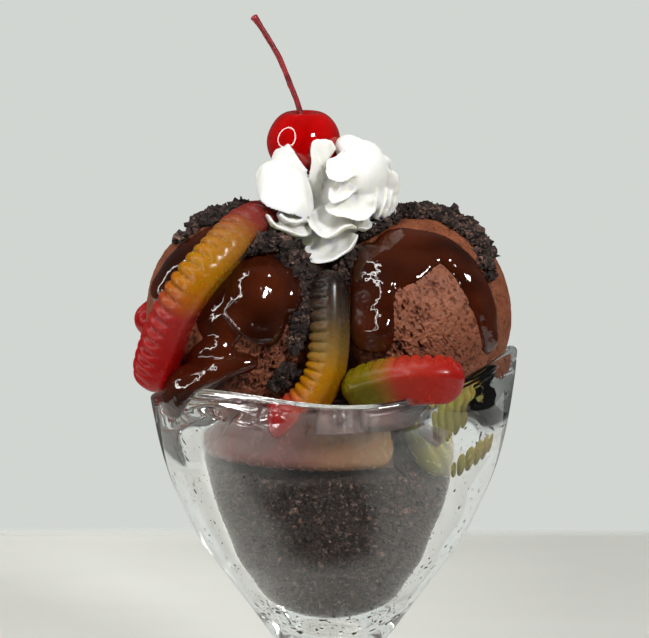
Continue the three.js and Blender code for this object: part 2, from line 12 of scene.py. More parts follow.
import bpy
import bmesh
import numpy as np
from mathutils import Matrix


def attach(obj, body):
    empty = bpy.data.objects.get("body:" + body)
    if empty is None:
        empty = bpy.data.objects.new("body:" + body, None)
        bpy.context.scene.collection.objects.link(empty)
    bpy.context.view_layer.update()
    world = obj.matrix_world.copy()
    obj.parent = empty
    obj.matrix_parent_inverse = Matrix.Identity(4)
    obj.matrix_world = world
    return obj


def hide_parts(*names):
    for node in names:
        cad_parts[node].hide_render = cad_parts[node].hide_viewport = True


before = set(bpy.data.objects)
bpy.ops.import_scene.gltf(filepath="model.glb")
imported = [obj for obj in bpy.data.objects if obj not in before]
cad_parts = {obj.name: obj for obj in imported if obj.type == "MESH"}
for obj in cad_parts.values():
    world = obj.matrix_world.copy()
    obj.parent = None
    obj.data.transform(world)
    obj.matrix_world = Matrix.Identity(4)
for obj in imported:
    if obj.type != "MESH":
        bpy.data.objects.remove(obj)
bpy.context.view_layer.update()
METRE = 0.001
print("nodes in the frame:", sorted(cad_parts))

# %% [markdown]
# ## Tools: noise, rings and grains
#
# Food is uneven at every scale. Blender has noise functions, but they take one
# point at a time. A small noise of our own that works on whole arrays keeps the
# script fast and gives the same result each run. The first function gives smooth
# lumps, the second adds finer lumps on top, and the third gives the distance to
# the nearest of many scattered points, which reads as pits, grains or cells.

# %% Noise on arrays of points
def lattice_value(cell, seed):
    """A repeatable number from 0 to 1 for each whole-number cell."""
    x, y, z = (cell[..., i].astype(np.int64) for i in range(3))
    n = (x * 374761393 + y * 668265263 + z * 1442695041 + seed * 974634777) & 0xFFFFFFFF
    n = ((n ^ (n >> 13)) * 1274126177) & 0xFFFFFFFF
    return ((n ^ (n >> 16)) & 0xFFFF) / 65535.0


def lumps(points, size, seed=0):
    """Smooth noise from -1 to 1 with lumps about as wide as size."""
    scaled = np.asarray(points, float) / size
    cell = np.floor(scaled)
    part = scaled - cell
    part = part * part * (3 - 2 * part)
    total = 0.0
    for corner in np.ndindex(2, 2, 2):
        share = np.prod(np.where(np.array(corner) == 1, part, 1 - part), axis=-1)
        total = total + share * lattice_value(cell + np.array(corner), seed)
    return 2 * total - 1


def rough(points, size, octaves=4, seed=0):
    """Lumps with finer and finer lumps on them."""
    total = 0.0
    for octave in range(octaves):
        total = total + lumps(points, size / 2**octave, seed + octave) / 2**octave
    return total / 1.6


def nearest_spot(points, size, seed=0):
    """Distance to the nearest scattered spot, about 0 to 1."""
    scaled = np.asarray(points, float) / size
    cell = np.floor(scaled)
    best = np.full(scaled.shape[:-1], 9.0)
    for step in np.ndindex(3, 3, 3):
        other = cell + np.array(step) - 1
        jitter = np.stack([lattice_value(other, seed + k) for k in (11, 12, 13)], axis=-1)
        best = np.minimum(best, np.linalg.norm(other + jitter - scaled, axis=-1))
    return best


print("noise sample:", round(float(lumps(np.array([1.0, 2.0, 3.0]), 2.0)), 3))

# %% [markdown]
# Most pieces are rings of points laid along a path and joined into a closed skin,
# as a potter stacks coils. The function below stores such a skin as a Blender mesh
# in metres, and turns its faces outwards by measuring its signed volume. It can
# also store a number for each point, which a material reads later as an attribute.

# %% Rings of points become a mesh
def add_object(name, points, faces, attributes=None):
    """A smooth-shaded object from points in mm, with named numbers on its points."""
    mesh = bpy.data.meshes.new(name)
    mesh.from_pydata((np.asarray(points) * METRE).tolist(), [], faces)
    mesh.polygons.foreach_set("use_smooth", [True] * len(mesh.polygons))
    for label, values in (attributes or {}).items():
        layer = mesh.attributes.new(label, "FLOAT", "POINT")
        layer.data.foreach_set("value", np.asarray(values, np.float32))
    mesh.update()
    piece = bpy.data.objects.new(name, mesh)
    bpy.context.scene.collection.objects.link(piece)
    return piece


def ring_faces(count, columns):
    """Quads between rings, and a fan that closes each end."""
    ring, column = np.meshgrid(np.arange(count - 1), np.arange(columns), indexing="ij")
    low = ring * columns + column
    low_next = ring * columns + (column + 1) % columns
    quads = np.stack([low, low_next, low_next + columns, low + columns], axis=-1)
    faces = quads.reshape(-1, 4).tolist()
    start, end, last = count * columns, count * columns + 1, (count - 1) * columns
    for column in range(columns):
        after = (column + 1) % columns
        faces.append([start, after, column])
        faces.append([end, last + column, last + after])
    return faces


def signed_volume(points, faces):
    """Positive when the faces look outwards."""
    triangles = [f[:3] for f in faces] + [[f[0], f[2], f[3]] for f in faces if len(f) == 4]
    a, b, c = (points[[t[i] for t in triangles]] for i in range(3))
    return float(np.einsum("ij,ij->i", a, np.cross(b, c)).sum() / 6)


def skin(rings):
    """Points and outward faces of a closed skin over rings of shape (n, m, 3)."""
    rings = np.asarray(rings, float)
    count, columns = rings.shape[:2]
    ends = np.stack([rings[0].mean(axis=0), rings[-1].mean(axis=0)])
    points = np.concatenate([rings.reshape(-1, 3), ends])
    faces = ring_faces(count, columns)
    if signed_volume(points, faces) < 0:
        faces = [f[::-1] for f in faces]
    return points, faces


def join_skins(skins):
    """Several skins as one list of points and faces."""
    points, faces, offset = [], [], 0
    for some_points, some_faces in skins:
        points.append(some_points)
        faces.extend([[i + offset for i in f] for f in some_faces])
        offset += len(some_points)
    return np.concatenate(points), faces


print("faces that close two rings of four points:", len(ring_faces(2, 4)))

# %% [markdown]
# Sauce and cream are many strokes that have flowed into one another. A voxel
# remesh is the tool for this: it keeps only the outer surface of everything that
# overlaps. A few rounds of smoothing then take away the voxel steps, and the
# result is baked into the mesh, so that no modifier is left on it.

# %% Melt skins into one surface
def melt(name, skins, voxel, smoothing):
    """One smooth object from overlapping skins, by voxel remesh."""
    piece = add_object(name, *join_skins(skins))
    remesh = piece.modifiers.new("melt", "REMESH")
    remesh.mode = "VOXEL"
    remesh.voxel_size = voxel * METRE
    remesh.use_smooth_shade = True
    soften = piece.modifiers.new("soften", "SMOOTH")
    soften.factor = 0.5
    soften.iterations = smoothing
    graph = bpy.context.evaluated_depsgraph_get()
    melted = bpy.data.meshes.new_from_object(piece.evaluated_get(graph))
    piece.modifiers.clear()
    piece.data = melted
    piece.data.name = name
    print(name, "has", len(melted.polygons), "faces")
    return piece


# %% [markdown]
# Crumbs are the opposite: thousands of separate chips. One chip is an icosphere
# with its corners pushed about. Many copies, each turned and sized at random, are
# joined into one mesh, because that exports well and renders as fast as one piece.

# %% Scatter chips as one mesh
def chip_shape(subdivisions, unevenness, seed):
    """Corners and faces of one rough chip of radius about 1."""
    shape = bmesh.new()
    bmesh.ops.create_icosphere(shape, subdivisions=subdivisions, radius=1.0)
    points = np.array([v.co[:] for v in shape.verts])
    faces = np.array([[v.index for v in f.verts] for f in shape.faces])
    shape.free()
    push = 1 + unevenness * lumps(points * 3, 1.6, seed) + 0.5 * unevenness * lumps(points * 7, 1.5, seed)
    return points * push[:, None], faces


def random_turns(draw, count):
    """Random rotation matrices."""
    q = draw.normal(size=(count, 4))
    w, x, y, z = (q / np.linalg.norm(q, axis=1, keepdims=True)).T
    rows = [
        [1 - 2 * (y * y + z * z), 2 * (x * y - z * w), 2 * (x * z + y * w)],
        [2 * (x * y + z * w), 1 - 2 * (x * x + z * z), 2 * (y * z - x * w)],
        [2 * (x * z - y * w), 2 * (y * z + x * w), 1 - 2 * (x * x + y * y)],
    ]
    return np.array(rows).transpose(2, 0, 1)


def scatter_chips(name, places, sizes, subdivisions=1, unevenness=0.35, seed=1, variants=6):
    """Chips at places, in one mesh, with a random tone stored for each."""
    draw = np.random.default_rng(seed)
    kind = draw.integers(0, variants, len(places))
    points, faces, tones, offset = [], [], [], 0
    for variant in range(variants):
        shape, triangles = chip_shape(subdivisions, unevenness, seed + variant)
        mine = np.flatnonzero(kind == variant)
        turned = np.einsum("nij,kj->nki", random_turns(draw, len(mine)), shape)
        squeeze = draw.uniform(0.5, 1.1, (len(mine), 1, 3))
        placed = turned * squeeze * sizes[mine, None, None] + places[mine, None, :]
        points.append(placed.reshape(-1, 3))
        starts = offset + np.arange(len(mine))[:, None, None] * len(shape)
        faces.append((triangles[None] + starts).reshape(-1, 3))
        tones.append(np.repeat(draw.uniform(0, 1, len(mine)), len(shape)))
        offset += len(mine) * len(shape)
    piece = add_object(
        name, np.concatenate(points), np.concatenate(faces).tolist(), {"tone": np.concatenate(tones)}
    )
    piece.data.polygons.foreach_set("use_smooth", [False] * len(piece.data.polygons))
    print(name, "has", len(places), "chips")
    return piece


# %% [markdown]
# ## Materials
#
# A finish is a small network of nodes. The helpers below keep each one to a few
# lines: a noise in the piece's own space, a ramp that turns it into colour, and a
# bump that turns it into fine relief. Numbers that are the same all over a piece
# are set straight on the shader.

# %% Helpers for finishes
def math_node(tree, operation, first, second=0.0):
    """One sum, product or the like of two values, each a number or a node's result."""
    node = tree.nodes.new("ShaderNodeMath")
    node.operation = operation
    for value, socket in zip((first, second), node.inputs):
        if isinstance(value, bpy.types.NodeSocket):
            tree.links.new(value, socket)
        else:
            socket.default_value = value
    return node.outputs[0]


class Finish:
    """A material with its shader, and short ways to add nodes to it."""

    def __init__(self, name, **sockets):
        self.material = bpy.data.materials.new(name)
        self.material.use_nodes = True
        self.tree = self.material.node_tree
        self.shader = self.tree.nodes["Principled BSDF"]
        for socket, value in sockets.items():
            self.shader.inputs[socket.replace("_", " ")].default_value = value
        self.space = self.tree.nodes.new("ShaderNodeTexCoord").outputs["Object"]

    def link(self, source, target):
        """Joins a result to a socket."""
        self.tree.links.new(source, target)
        return target

    def noise(self, size_mm, detail=4.0, roughness=0.55, distortion=0.0, space=None):
        """Soft noise with features about size_mm wide."""
        node = self.tree.nodes.new("ShaderNodeTexNoise")
        node.inputs["Scale"].default_value = 1000 / size_mm
        node.inputs["Detail"].default_value = detail
        node.inputs["Roughness"].default_value = roughness
        node.inputs["Distortion"].default_value = distortion
        self.link(space or self.space, node.inputs["Vector"])
        return node.outputs["Fac"]

    def stretched(self, turn, scale):
        """The piece's own space, turned in degrees and scaled."""
        node = self.tree.nodes.new("ShaderNodeMapping")
        node.inputs["Rotation"].default_value = [math.radians(a) for a in turn]
        node.inputs["Scale"].default_value = scale
        self.link(self.space, node.inputs["Vector"])
        return node.outputs["Vector"]

    def attribute(self, label):
        """A number that is stored on the points."""
        node = self.tree.nodes.new("ShaderNodeAttribute")
        node.attribute_name = label
        return node.outputs["Fac"]

    def ramp(self, source, stops):
        """Colours at places from 0 to 1."""
        node = self.tree.nodes.new("ShaderNodeValToRGB")
        elements = node.color_ramp.elements
        while len(elements) < len(stops):
            elements.new(0.5)
        for element, (place, color) in zip(elements, stops):
            element.position = place
            element.color = (*color, 1.0)
        self.link(source, node.inputs["Fac"])
        return node.outputs["Color"]

    def separated(self, axis):
        """One axis of the piece's own space, in metres."""
        node = self.tree.nodes.new("ShaderNodeSeparateXYZ")
        self.link(self.space, node.inputs[0])
        return node.outputs[axis]

    def mix(self, share, first, second, how="MIX"):
        """Two colours mixed, or multiplied."""
        node = self.tree.nodes.new("ShaderNodeMix")
        node.data_type = "RGBA"
        node.blend_type = how
        sockets = (node.inputs["Factor"], node.inputs[6], node.inputs[7])
        for value, socket in zip((share, first, second), sockets):
            if isinstance(value, bpy.types.NodeSocket):
                self.link(value, socket)
            elif isinstance(value, tuple):
                socket.default_value = (*value, 1.0)
            else:
                socket.default_value = value
        return node.outputs[2]

    def math(self, operation, first, second=0.0):
        """A math node of this finish."""
        return math_node(self.tree, operation, first, second)

    def color(self, source):
        """Sets the base colour."""
        self.link(source, self.shader.inputs["Base Color"])

    def bump(self, height, depth_mm, strength=1.0, after=None):
        """Fine relief, depth_mm deep."""
        node = self.tree.nodes.new("ShaderNodeBump")
        node.inputs["Strength"].default_value = strength
        node.inputs["Distance"].default_value = depth_mm * METRE
        self.link(height, node.inputs["Height"])
        if after is not None:
            self.link(after, node.inputs["Normal"])
        self.link(node.outputs["Normal"], self.shader.inputs["Normal"])
        return node.outputs["Normal"]

    def roughness(self, source, low, high):
        """Roughness from low to high, as source goes from 0 to 1."""
        node = self.tree.nodes.new("ShaderNodeMapRange")
        node.inputs["To Min"].default_value = low
        node.inputs["To Max"].default_value = high
        self.link(source, node.inputs["Value"])
        self.link(node.outputs["Result"], self.shader.inputs["Roughness"])


def dress(piece, finish, slot, *nodes):
    """Gives a piece its finish and its body, and hides the CAD nodes it stands for. The slot is not used.
    """
    piece.data.materials.clear()
    piece.data.materials.append(finish.material)
    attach(piece, "root")
    if nodes:
        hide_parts(*nodes)
    return piece


print("materials so far:", len(bpy.data.materials))

# %% [markdown]
# ## The glass
#
# A sundae glass is pressed from thick clear glass: a plunger makes the smooth
# hollow and a mould makes the outside with its four broad petals, the waist and
# the foot. Its rim has been cut in a soft wave. A lathe alone can't make the wave
# or the petals, so each ring is worked out from a profile and then moved. The
# profile is the CAD model's, with many more facets, because clear glass shows
# every flat through its refractions. The creases between the petals are rounded a
# little, as a sharp one shows as a white line through the whole wall.
#
# Real glass lets almost all light through, but a path tracer treats it as a body
# that casts a shadow. The glass is therefore told to cast none, so that the lamps
# reach the food in it and the table behind it.

# %% Sizes of the glass
RIM_HEIGHT = 121.8
LIP_WIDTH = 2.6
WAVE_START = 72.0
CREASE = math.radians(-46)
CREASE_SOFTNESS = 0.006
PETAL_BULGE = 1.4
OUTSIDE = np.array([
    [0, 37], [1.2, 38], [4, 38], [6.5, 35], [10, 26.5], [15, 15], [21, 8.6], [27, 7.4],
    [33, 9.6], [38.5, 8.2], [44, 9.4], [54.4, 16.2], [62.6, 21.7], [72.9, 28.9], [80, 33.7],
    [88.3, 37.4], [96, 40.7], [106.6, 43.8], [119.2, 46.1], [126.9, 46.8], [134, 47.2],
])
HOLLOW = np.array([
    [60.5, 10], [65, 14.9], [72.9, 20.6], [80, 25], [93, 30.4],
    [100, 33.2], [112, 38.6], [119, 42.6], [121.8, 43.9],
])
HOLLOW_FLOOR = 57.0
print("points of the profiles:", len(OUTSIDE), "and", len(HOLLOW))

# %% Radius, wave and petals at a height
def profile_radius(profile, height):
    """Smooth radius at a height, through the points of a profile."""
    z, r = profile[:, 0], profile[:, 1]
    before, after = np.maximum(np.arange(len(z)) - 1, 0), np.minimum(np.arange(len(z)) + 1, len(z) - 1)
    slope = (r[after] - r[before]) / (z[after] - z[before])
    height = np.clip(height, z[0], z[-1])
    i = np.clip(np.searchsorted(z, height, side="right") - 1, 0, len(z) - 2)
    span = z[i + 1] - z[i]
    u = (height - z[i]) / span
    return (
        r[i] * (1 + 2 * u) * (1 - u) ** 2
        + slope[i] * span * u * (1 - u) ** 2
        + r[i + 1] * u**2 * (3 - 2 * u)
        - slope[i + 1] * span * u**2 * (1 - u)
    )


def wave_at(height, azimuth):
    """How far the rim's wave lifts a point of the bowl."""
    rim = 5.6 * np.cos(azimuth + math.radians(42)) + 3.0 * np.cos(3 * (azimuth + math.radians(14)))
    share = np.clip((height - WAVE_START) / (RIM_HEIGHT - WAVE_START), 0, 1)
    return rim * share**1.5


def polar(radius, azimuth, height):
    """Points from a radius, an angle round the axis and a height."""
    radius, azimuth, height = np.broadcast_arrays(radius, azimuth, height)
    return np.stack([radius * np.cos(azimuth), radius * np.sin(azimuth), height], axis=-1)


def outside_point(height, azimuth, grow=0.0):
    """A point on the outside of the glass, with wave and petals, grown by grow."""
    level = height + wave_at(height, azimuth)
    from_neck = np.clip((height - 46) / 22, 0, 1)
    from_rim = np.clip((RIM_HEIGHT - 8 - height) / 18, 0, 1)
    ridge = np.sqrt(np.sin(2 * (azimuth - CREASE)) ** 2 + CREASE_SOFTNESS)
    petal = PETAL_BULGE * from_neck * from_rim * (ridge - 0.6)
    return polar(profile_radius(OUTSIDE, level) + petal + grow, azimuth, level)


def hollow_base_radius(height):
    """Radius of the hollow before the wave leans it, with its rounded floor."""
    low = 10 * np.sqrt(np.clip(height - HOLLOW_FLOOR, 0, 3.5) / 3.5)
    return np.where(height < 60.5, low, profile_radius(HOLLOW, height))


def hollow_point(height, azimuth, grow=0.0):
    """A point on the wall of the hollow, moved out by grow."""
    level = height + wave_at(height, azimuth)
    lean = profile_radius(OUTSIDE, level) - profile_radius(OUTSIDE, height)
    return polar(np.maximum(hollow_base_radius(height) + lean + grow, 0.02), azimuth, level)


def hollow_radius(level, azimuth):
    """Radius of the hollow at a level above the foot."""
    height = level
    for _ in range(8):
        height = level - wave_at(height, azimuth)
    lean = profile_radius(OUTSIDE, level) - profile_radius(OUTSIDE, height)
    return hollow_base_radius(height) + lean


print("outside radius at the rim:", round(float(profile_radius(OUTSIDE, RIM_HEIGHT)), 1), "mm")


# %% Press the glass
def glass_rings(columns=192):
    """Rings up the outside, over the lip and down the hollow."""
    round_ = CREASE + 2 * math.pi * np.arange(columns) / columns
    foot = np.array([0, 0.2, 0.6, 1.2, 2, 3, 4, 4.6, 5.3])
    body = np.concatenate([foot, np.arange(6.5, 46, 1.1), np.arange(46, 118.6, 1.6)])
    rings = [outside_point(height, round_) for height in body]
    lip = LIP_WIDTH / 2
    for turn in np.linspace(0, math.pi, 13):
        edge = outside_point(RIM_HEIGHT - lip, round_, -lip)
        rings.append(edge + polar(lip * math.cos(turn), round_, lip * math.sin(turn)))
    floor = np.array([61, 60, 59.2, 58.5, 57.9, 57.5, 57.2, 57.05])
    down = np.concatenate([np.arange(118.5, 62, -1.6), floor])
    rings.extend(hollow_point(height, round_) for height in down)
    return rings


glass_finish = Finish(
    "clear_pressed_glass",
    Base_Color=(0.985, 0.995, 0.99, 1.0), Roughness=0.0, IOR=1.5, Transmission_Weight=1.0,
)
ripple = glass_finish.noise(26, detail=1.0, roughness=0.4)
glass_finish.bump(ripple, 0.1, strength=0.15)
glass = dress(add_object("glass_piece", *skin(glass_rings())), glass_finish, "glass", "glass")
glass.visible_shadow = False
print("glass faces:", len(glass.data.polygons))

# %% [markdown]
# ## Where the scoops and the worms lie
#
# The three balls and the six gummy worms come before anything that fills the glass,
# because crumbs and ice cream have to leave room for them. A place on a ball is
# given as degrees round it and up it. A worm is cast in a half mould, so it has a
# flat side, and down says which way that side looks.

# %% Where the scoops are
SCOOPS = {
    "left": (np.array([-21.4, -9, 139.0]), 24.6),
    "right": (np.array([20.9, -8, 137.6]), 24.2),
    "back": (np.array([0.5, 20.6, 138.0]), 24.8),
}


def on_scoop(scoop, azimuth, elevation, lift=0.0):
    """Points above a scoop, from degrees round it and up it."""
    centre, radius = SCOOPS[scoop]
    az, el = np.radians(azimuth), np.radians(elevation)
    direction = np.stack([np.cos(el) * np.cos(az), np.cos(el) * np.sin(az), np.sin(el)], axis=-1)
    return centre + direction * (radius + np.asarray(lift))[..., None]


def unit(vectors):
    """Vectors of length 1."""
    return vectors / np.linalg.norm(vectors, axis=-1, keepdims=True)


print("scoop radii:", [radius for _, radius in SCOOPS.values()], "mm")

# %% Paths of the worms
def smooth_path(stations, count):
    """Catmull-Rom curve through stations, as an even list of places."""
    stations = np.asarray(stations, float)
    before, after = 2 * stations[0] - stations[1], 2 * stations[-1] - stations[-2]
    padded = np.concatenate([[before], stations, [after]])
    t = np.linspace(0, len(stations) - 1, count)
    i = np.minimum(t.astype(int), len(stations) - 2)
    u = (t - i)[:, None]
    a, b, c, d = (padded[i + k] for k in range(4))
    return 0.5 * (2 * b + (c - a) * u + (2 * a - 5 * b + 4 * c - d) * u**2 + (3 * b - a - 3 * c + d) * u**3)


WORM_PATHS = {
    "worm_left": dict(
        path=[
            [-13.2, -13.5, 162.4], [-17.4, -18.0, 162.3], [-21.6, -23.4, 161.0], [-26.1, -28.8, 157.2],
            [-31.2, -32.4, 152.2], [-35.4, -33, 146.2], [-38.4, -32.2, 140.6], [-40.6, -30.4, 134.8],
            [-42.2, -27.4, 129.0], [-42.8, -23.6, 123.6],
        ],
        down=(0.80, -0.27, -0.53), half_width=6.0,
    ),
    "worm_left_back": dict(
        path=[[-39, 14, 136.5], [-43.4, 5, 135], [-45.8, -4.5, 134.6]],
        down=(1, 0.1, -0.2), half_width=4.6,
    ),
    "worm_middle": dict(
        path=[
            [-0.4, -23.6, 151.6], [-0.3, -26.4, 147.5], [-0.2, -28.9, 141], [-0.4, -30.5, 134.0],
            [-1.6, -31.8, 127.6], [-5.2, -32.4, 121.6], [-10.2, -31.6, 117.2], [-15.2, -29.6, 114.6],
        ],
        down=(0.9, -0.41, 0.0), half_width=5.2,
    ),
    "worm_right": dict(
        path=[
            [3.6, -30.5, 122.4], [10.6, -34.2, 125.6], [16.6, -37, 127.6], [23.5, -38.6, 128.2],
            [32.0, -37.2, 127.7],
        ],
        down=(0.0, -0.93, -0.37), half_width=6.0,
    ),
    "worm_inner_front": dict(
        path=[
            [-30.0, -8.5, 109.5], [-24, -18, 109.2], [-13.5, -25.2, 109], [0, -28.6, 109],
            [15, -26.2, 109.3],
        ],
        down=(0.0, -1.0, 0.25), half_width=5.6,
    ),
    "worm_inner_green": dict(
        path=[[31.2, -4.5, 110.0], [27.4, -13.5, 107.2], [20.6, -20.4, 103.6]],
        down=(-0.8, 0.5, -0.3), half_width=6.0,
    ),
}
print("worm paths:", len(WORM_PATHS))


# %% Room for the worms
POCKET_GAP = 0.35
FAR_OUT = 99


def behind_worms(radius, azimuth, height):
    """The radius of a ring, moved in behind every worm that it would cut."""
    out = np.stack([np.cos(azimuth), np.sin(azimuth), np.zeros_like(azimuth)], axis=-1)
    for worm in WORM_PATHS.values():
        spine = smooth_path(worm["path"], 60)
        reach = worm["half_width"] + POCKET_GAP
        level = np.broadcast_to(height, azimuth.shape)
        flat = spine * [1, 1, 0]
        forward = out @ flat.T
        sideways = np.linalg.norm(flat[None] - forward[..., None] * out[:, None], axis=-1)
        off = sideways**2 + (level[:, None] - spine[None, :, 2]) ** 2
        near_side = forward - np.sqrt(np.clip(reach**2 - off, 0, None))
        cut = np.where((off < reach**2) & (forward > 0), near_side, FAR_OUT)
        radius = np.minimum(radius, np.clip(cut.min(axis=1), 4, None))
    return radius


print("pockets leave", POCKET_GAP, "mm round each worm")

# %% [markdown]
# ## Cookie crumbs in the glass
#
# The bottom of the glass is packed with dark cookie crumbs. They are dry, so they
# touch the wall only here and there, and the air between shows as a dark grainy
# layer with grey glints. One rough core fills the hollow, and a layer of loose
# chips is pressed against the wall, where they can be seen.

# %% Fill the glass with crumbs
CRUMB_LEVEL = 103.0
CORE_TONE = 0.62
WALL_CHIPS = 5200
WORM_CLEARANCE = 6.2


def wave_lumps(points, size):
    """The same soft lumps that the CAD model has on its crumbs and ice cream."""
    x, y, z = (points[..., i] / size for i in range(3))
    broad = np.sin(x + 1.3 * np.sin(y)) * np.cos(z + 0.7 * np.sin(x + 2))
    fine = np.sin(2.3 * y + np.sin(1.7 * z)) * np.cos(2.1 * x - z)
    return 0.65 * broad + 0.35 * fine


def crumb_top(radius, azimuth):
    """Height of the crumbs' uneven top."""
    point = polar(radius, azimuth, 0.0)
    return CRUMB_LEVEL + 0.04 * point[..., 1] + 0.7 * wave_lumps(point, 5)


def crumb_core_rings(columns=260):
    """Rings up the wall behind the chips, and inwards over the top."""
    round_ = 2 * math.pi * np.arange(columns) / columns
    rings = []
    for height in np.concatenate([[57.6, 58.2, 59], np.arange(60, 101.5, 0.55)]):
        wall = hollow_point(height, round_)
        depth = 0.75 + 0.45 * rough(wall, 2.2, 3, seed=3) + 0.5 * nearest_spot(wall, 1.7, seed=4)
        ring = hollow_point(height, round_, -np.clip(depth, 0.15, 2.0))
        radius = np.linalg.norm(ring[:, :2], axis=1)
        rings.append(polar(behind_worms(radius, round_, ring[:, 2]), round_, ring[:, 2]))
    for share in np.concatenate([np.arange(1, 0.05, -0.035), [0.03]]):
        radius = (hollow_radius(CRUMB_LEVEL, round_) - 1.3) * share
        radius = behind_worms(radius, round_, CRUMB_LEVEL) if share > 0.6 else radius
        ring = polar(radius, round_, crumb_top(radius, round_))
        ring[:, 2] += 0.35 * rough(ring, 1.8, 3, seed=5)
        rings.append(ring)
    return rings


print("crumbs reach up to about", CRUMB_LEVEL, "mm")

# %% The crumbs' finish
crumb_finish = Finish("cookie_crumb", Roughness=0.85, Specular_IOR_Level=0.35)
crumb_grain = crumb_finish.noise(0.7, detail=6.0, roughness=0.7)
crumb_tone = crumb_finish.ramp(
    crumb_grain,
    [(0.3, (0.006, 0.0045, 0.0042)), (0.5, (0.017, 0.012, 0.0105)), (0.68, (0.098, 0.060, 0.044))],
)
chip_tone = crumb_finish.ramp(
    crumb_finish.attribute("tone"),
    [
        (0.0, (0.5, 0.48, 0.48)), (0.5, (1.0, 0.95, 0.94)),
        (0.8, (1.9, 1.7, 1.65)), (1.0, (3.6, 3.1, 2.95)),
    ],
)
crumb_finish.color(crumb_finish.mix(1.0, crumb_tone, chip_tone, "MULTIPLY"))
crumb_finish.bump(crumb_grain, 0.25, strength=0.9)
print("nodes in the crumbs' finish:", len(crumb_finish.tree.nodes))

# %% The core, and chips along the wall
crumb_core = add_object("cookie_crumb_core", *skin(crumb_core_rings()))
crumb_core_tone = crumb_core.data.attributes.new("tone", "FLOAT", "POINT")
crumb_core_tone.data.foreach_set("value", np.full(len(crumb_core.data.vertices), CORE_TONE, np.float32))
dress(crumb_core, crumb_finish, "cookie_crumb", "cookie_crumb_base")


def wall_chip_places(count, draw):
    """Places just inside the wall, spread evenly over its area."""
    height = HOLLOW_FLOOR + 1.5 + (CRUMB_LEVEL - HOLLOW_FLOOR - 2.5) * draw.uniform(0, 1, count) ** 0.62
    azimuth = draw.uniform(0, 2 * math.pi, count)
    return height, azimuth


draw = np.random.default_rng(21)
chip_height, chip_azimuth = wall_chip_places(WALL_CHIPS, draw)
chip_size = 0.35 + 0.75 * draw.uniform(0, 1, len(chip_height)) ** 2.5
wall_places = hollow_point(chip_height, chip_azimuth, -(chip_size * 0.85 + 0.02))
spines = np.concatenate([smooth_path(worm["path"], 60) for worm in WORM_PATHS.values()])
clear = np.linalg.norm(wall_places[:, None] - spines[None], axis=-1).min(axis=1) > WORM_CLEARANCE
wall_chips = scatter_chips("cookie_crumb_chips", wall_places[clear], chip_size[clear], seed=31)
dress(wall_chips, crumb_finish, "cookie_crumb", "cookie_crumb_base")
print("chips kept clear of the worms:", int(clear.sum()), "of", len(clear))

# %% [markdown]
# ## Ice cream
#
# Three scoops sit on ice cream that has been pressed into the glass and has begun
# to melt. A scooped ball is not smooth: the scoop drags the surface, which tears
# into small slanting pits, deeper where it broke away from the tub. The pits are
# real relief, made from noise that is stretched along the drag, and the finest
# ones are bump. The colour is also painted darker in the pits and in the bump's
# fine pits, as painted shade. The ball is a grid of rings, as that puts the relief
# where it is wanted at an even size.

# %% Scoop a ball
def drag_stretched(points, along, factor):
    """Points squeezed along the drag, so that noise on them is stretched."""
    along = np.array(along) / np.linalg.norm(along)
    return points - np.outer(points @ along, along) * (1 - 1 / factor)


def step_up(value, low, high):
    """0 below low, 1 above high, and a smooth step between them."""
    share = np.clip((value - low) / (high - low), 0, 1)
    return share * share * (3 - 2 * share)


def ball_grid(centre, radius, pole, columns, rows):
    """Rings round a pole direction, closer together near the pole."""
    pole = np.array(pole) / np.linalg.norm(pole)
    side = unit(np.cross(pole, [0.0, 0.0, 1.0]))
    up = np.cross(side, pole)
    share = np.linspace(0.004, 0.996, rows)
    angle = math.pi * share ** 1.35
    turn = 2 * math.pi * np.arange(columns) / columns
    ring = np.cos(turn)[:, None] * side + np.sin(turn)[:, None] * up
    return centre + radius * (
        np.cos(angle)[:, None, None] * pole + np.sin(angle)[:, None, None] * ring[None]
    )


def scoop_skin(scoop, drag, torn_place, fineness):
    """A ball with drag pits, which are more and deeper near torn_place (degrees)."""
    centre, radius = SCOOPS[scoop]
    torn = on_scoop(scoop, *torn_place)
    grid = ball_grid(centre, radius, torn - centre, int(600 * fineness), int(330 * fineness))
    flat = grid.reshape(-1, 3)
    nearness = np.exp(-((np.linalg.norm(flat - torn, axis=1) / (0.55 * radius)) ** 2))
    streaked = drag_stretched(flat, drag, 2.4)
    fine = step_up(lumps(streaked, 0.5, 5) + 0.6 * lumps(streaked, 0.26, 6), 0.3 - 0.25 * nearness, 0.62)
    torn_noise = rough(drag_stretched(flat, drag, 1.7), 1.5, 4, 7)
    coarse = step_up(torn_noise, 0.66 - 0.58 * nearness, 0.84 - 0.46 * nearness)
    lift = 0.4 * wave_lumps(flat, 7.5) + 0.12 * rough(flat, 2.4, 3, 8)
    lift -= fine * (0.3 + 0.25 * nearness) + coarse * (0.2 + 1.1 * nearness)
    lift += (0.08 + 0.4 * nearness) * rough(flat, 0.8, 3, 9)
    points, faces = skin(grid + (unit(flat - centre) * lift[:, None]).reshape(grid.shape))
    # How much painted shade each point gets: more in the deeper pits, where less light falls.
    pit_shade = np.clip(fine * 0.55 + coarse * (0.35 + 0.5 * nearness), 0, 1)
    return points, faces, {"pit_shade": np.append(pit_shade, [0, 0])}


print("half-way up a smooth step:", float(step_up(0.5, 0, 1)))

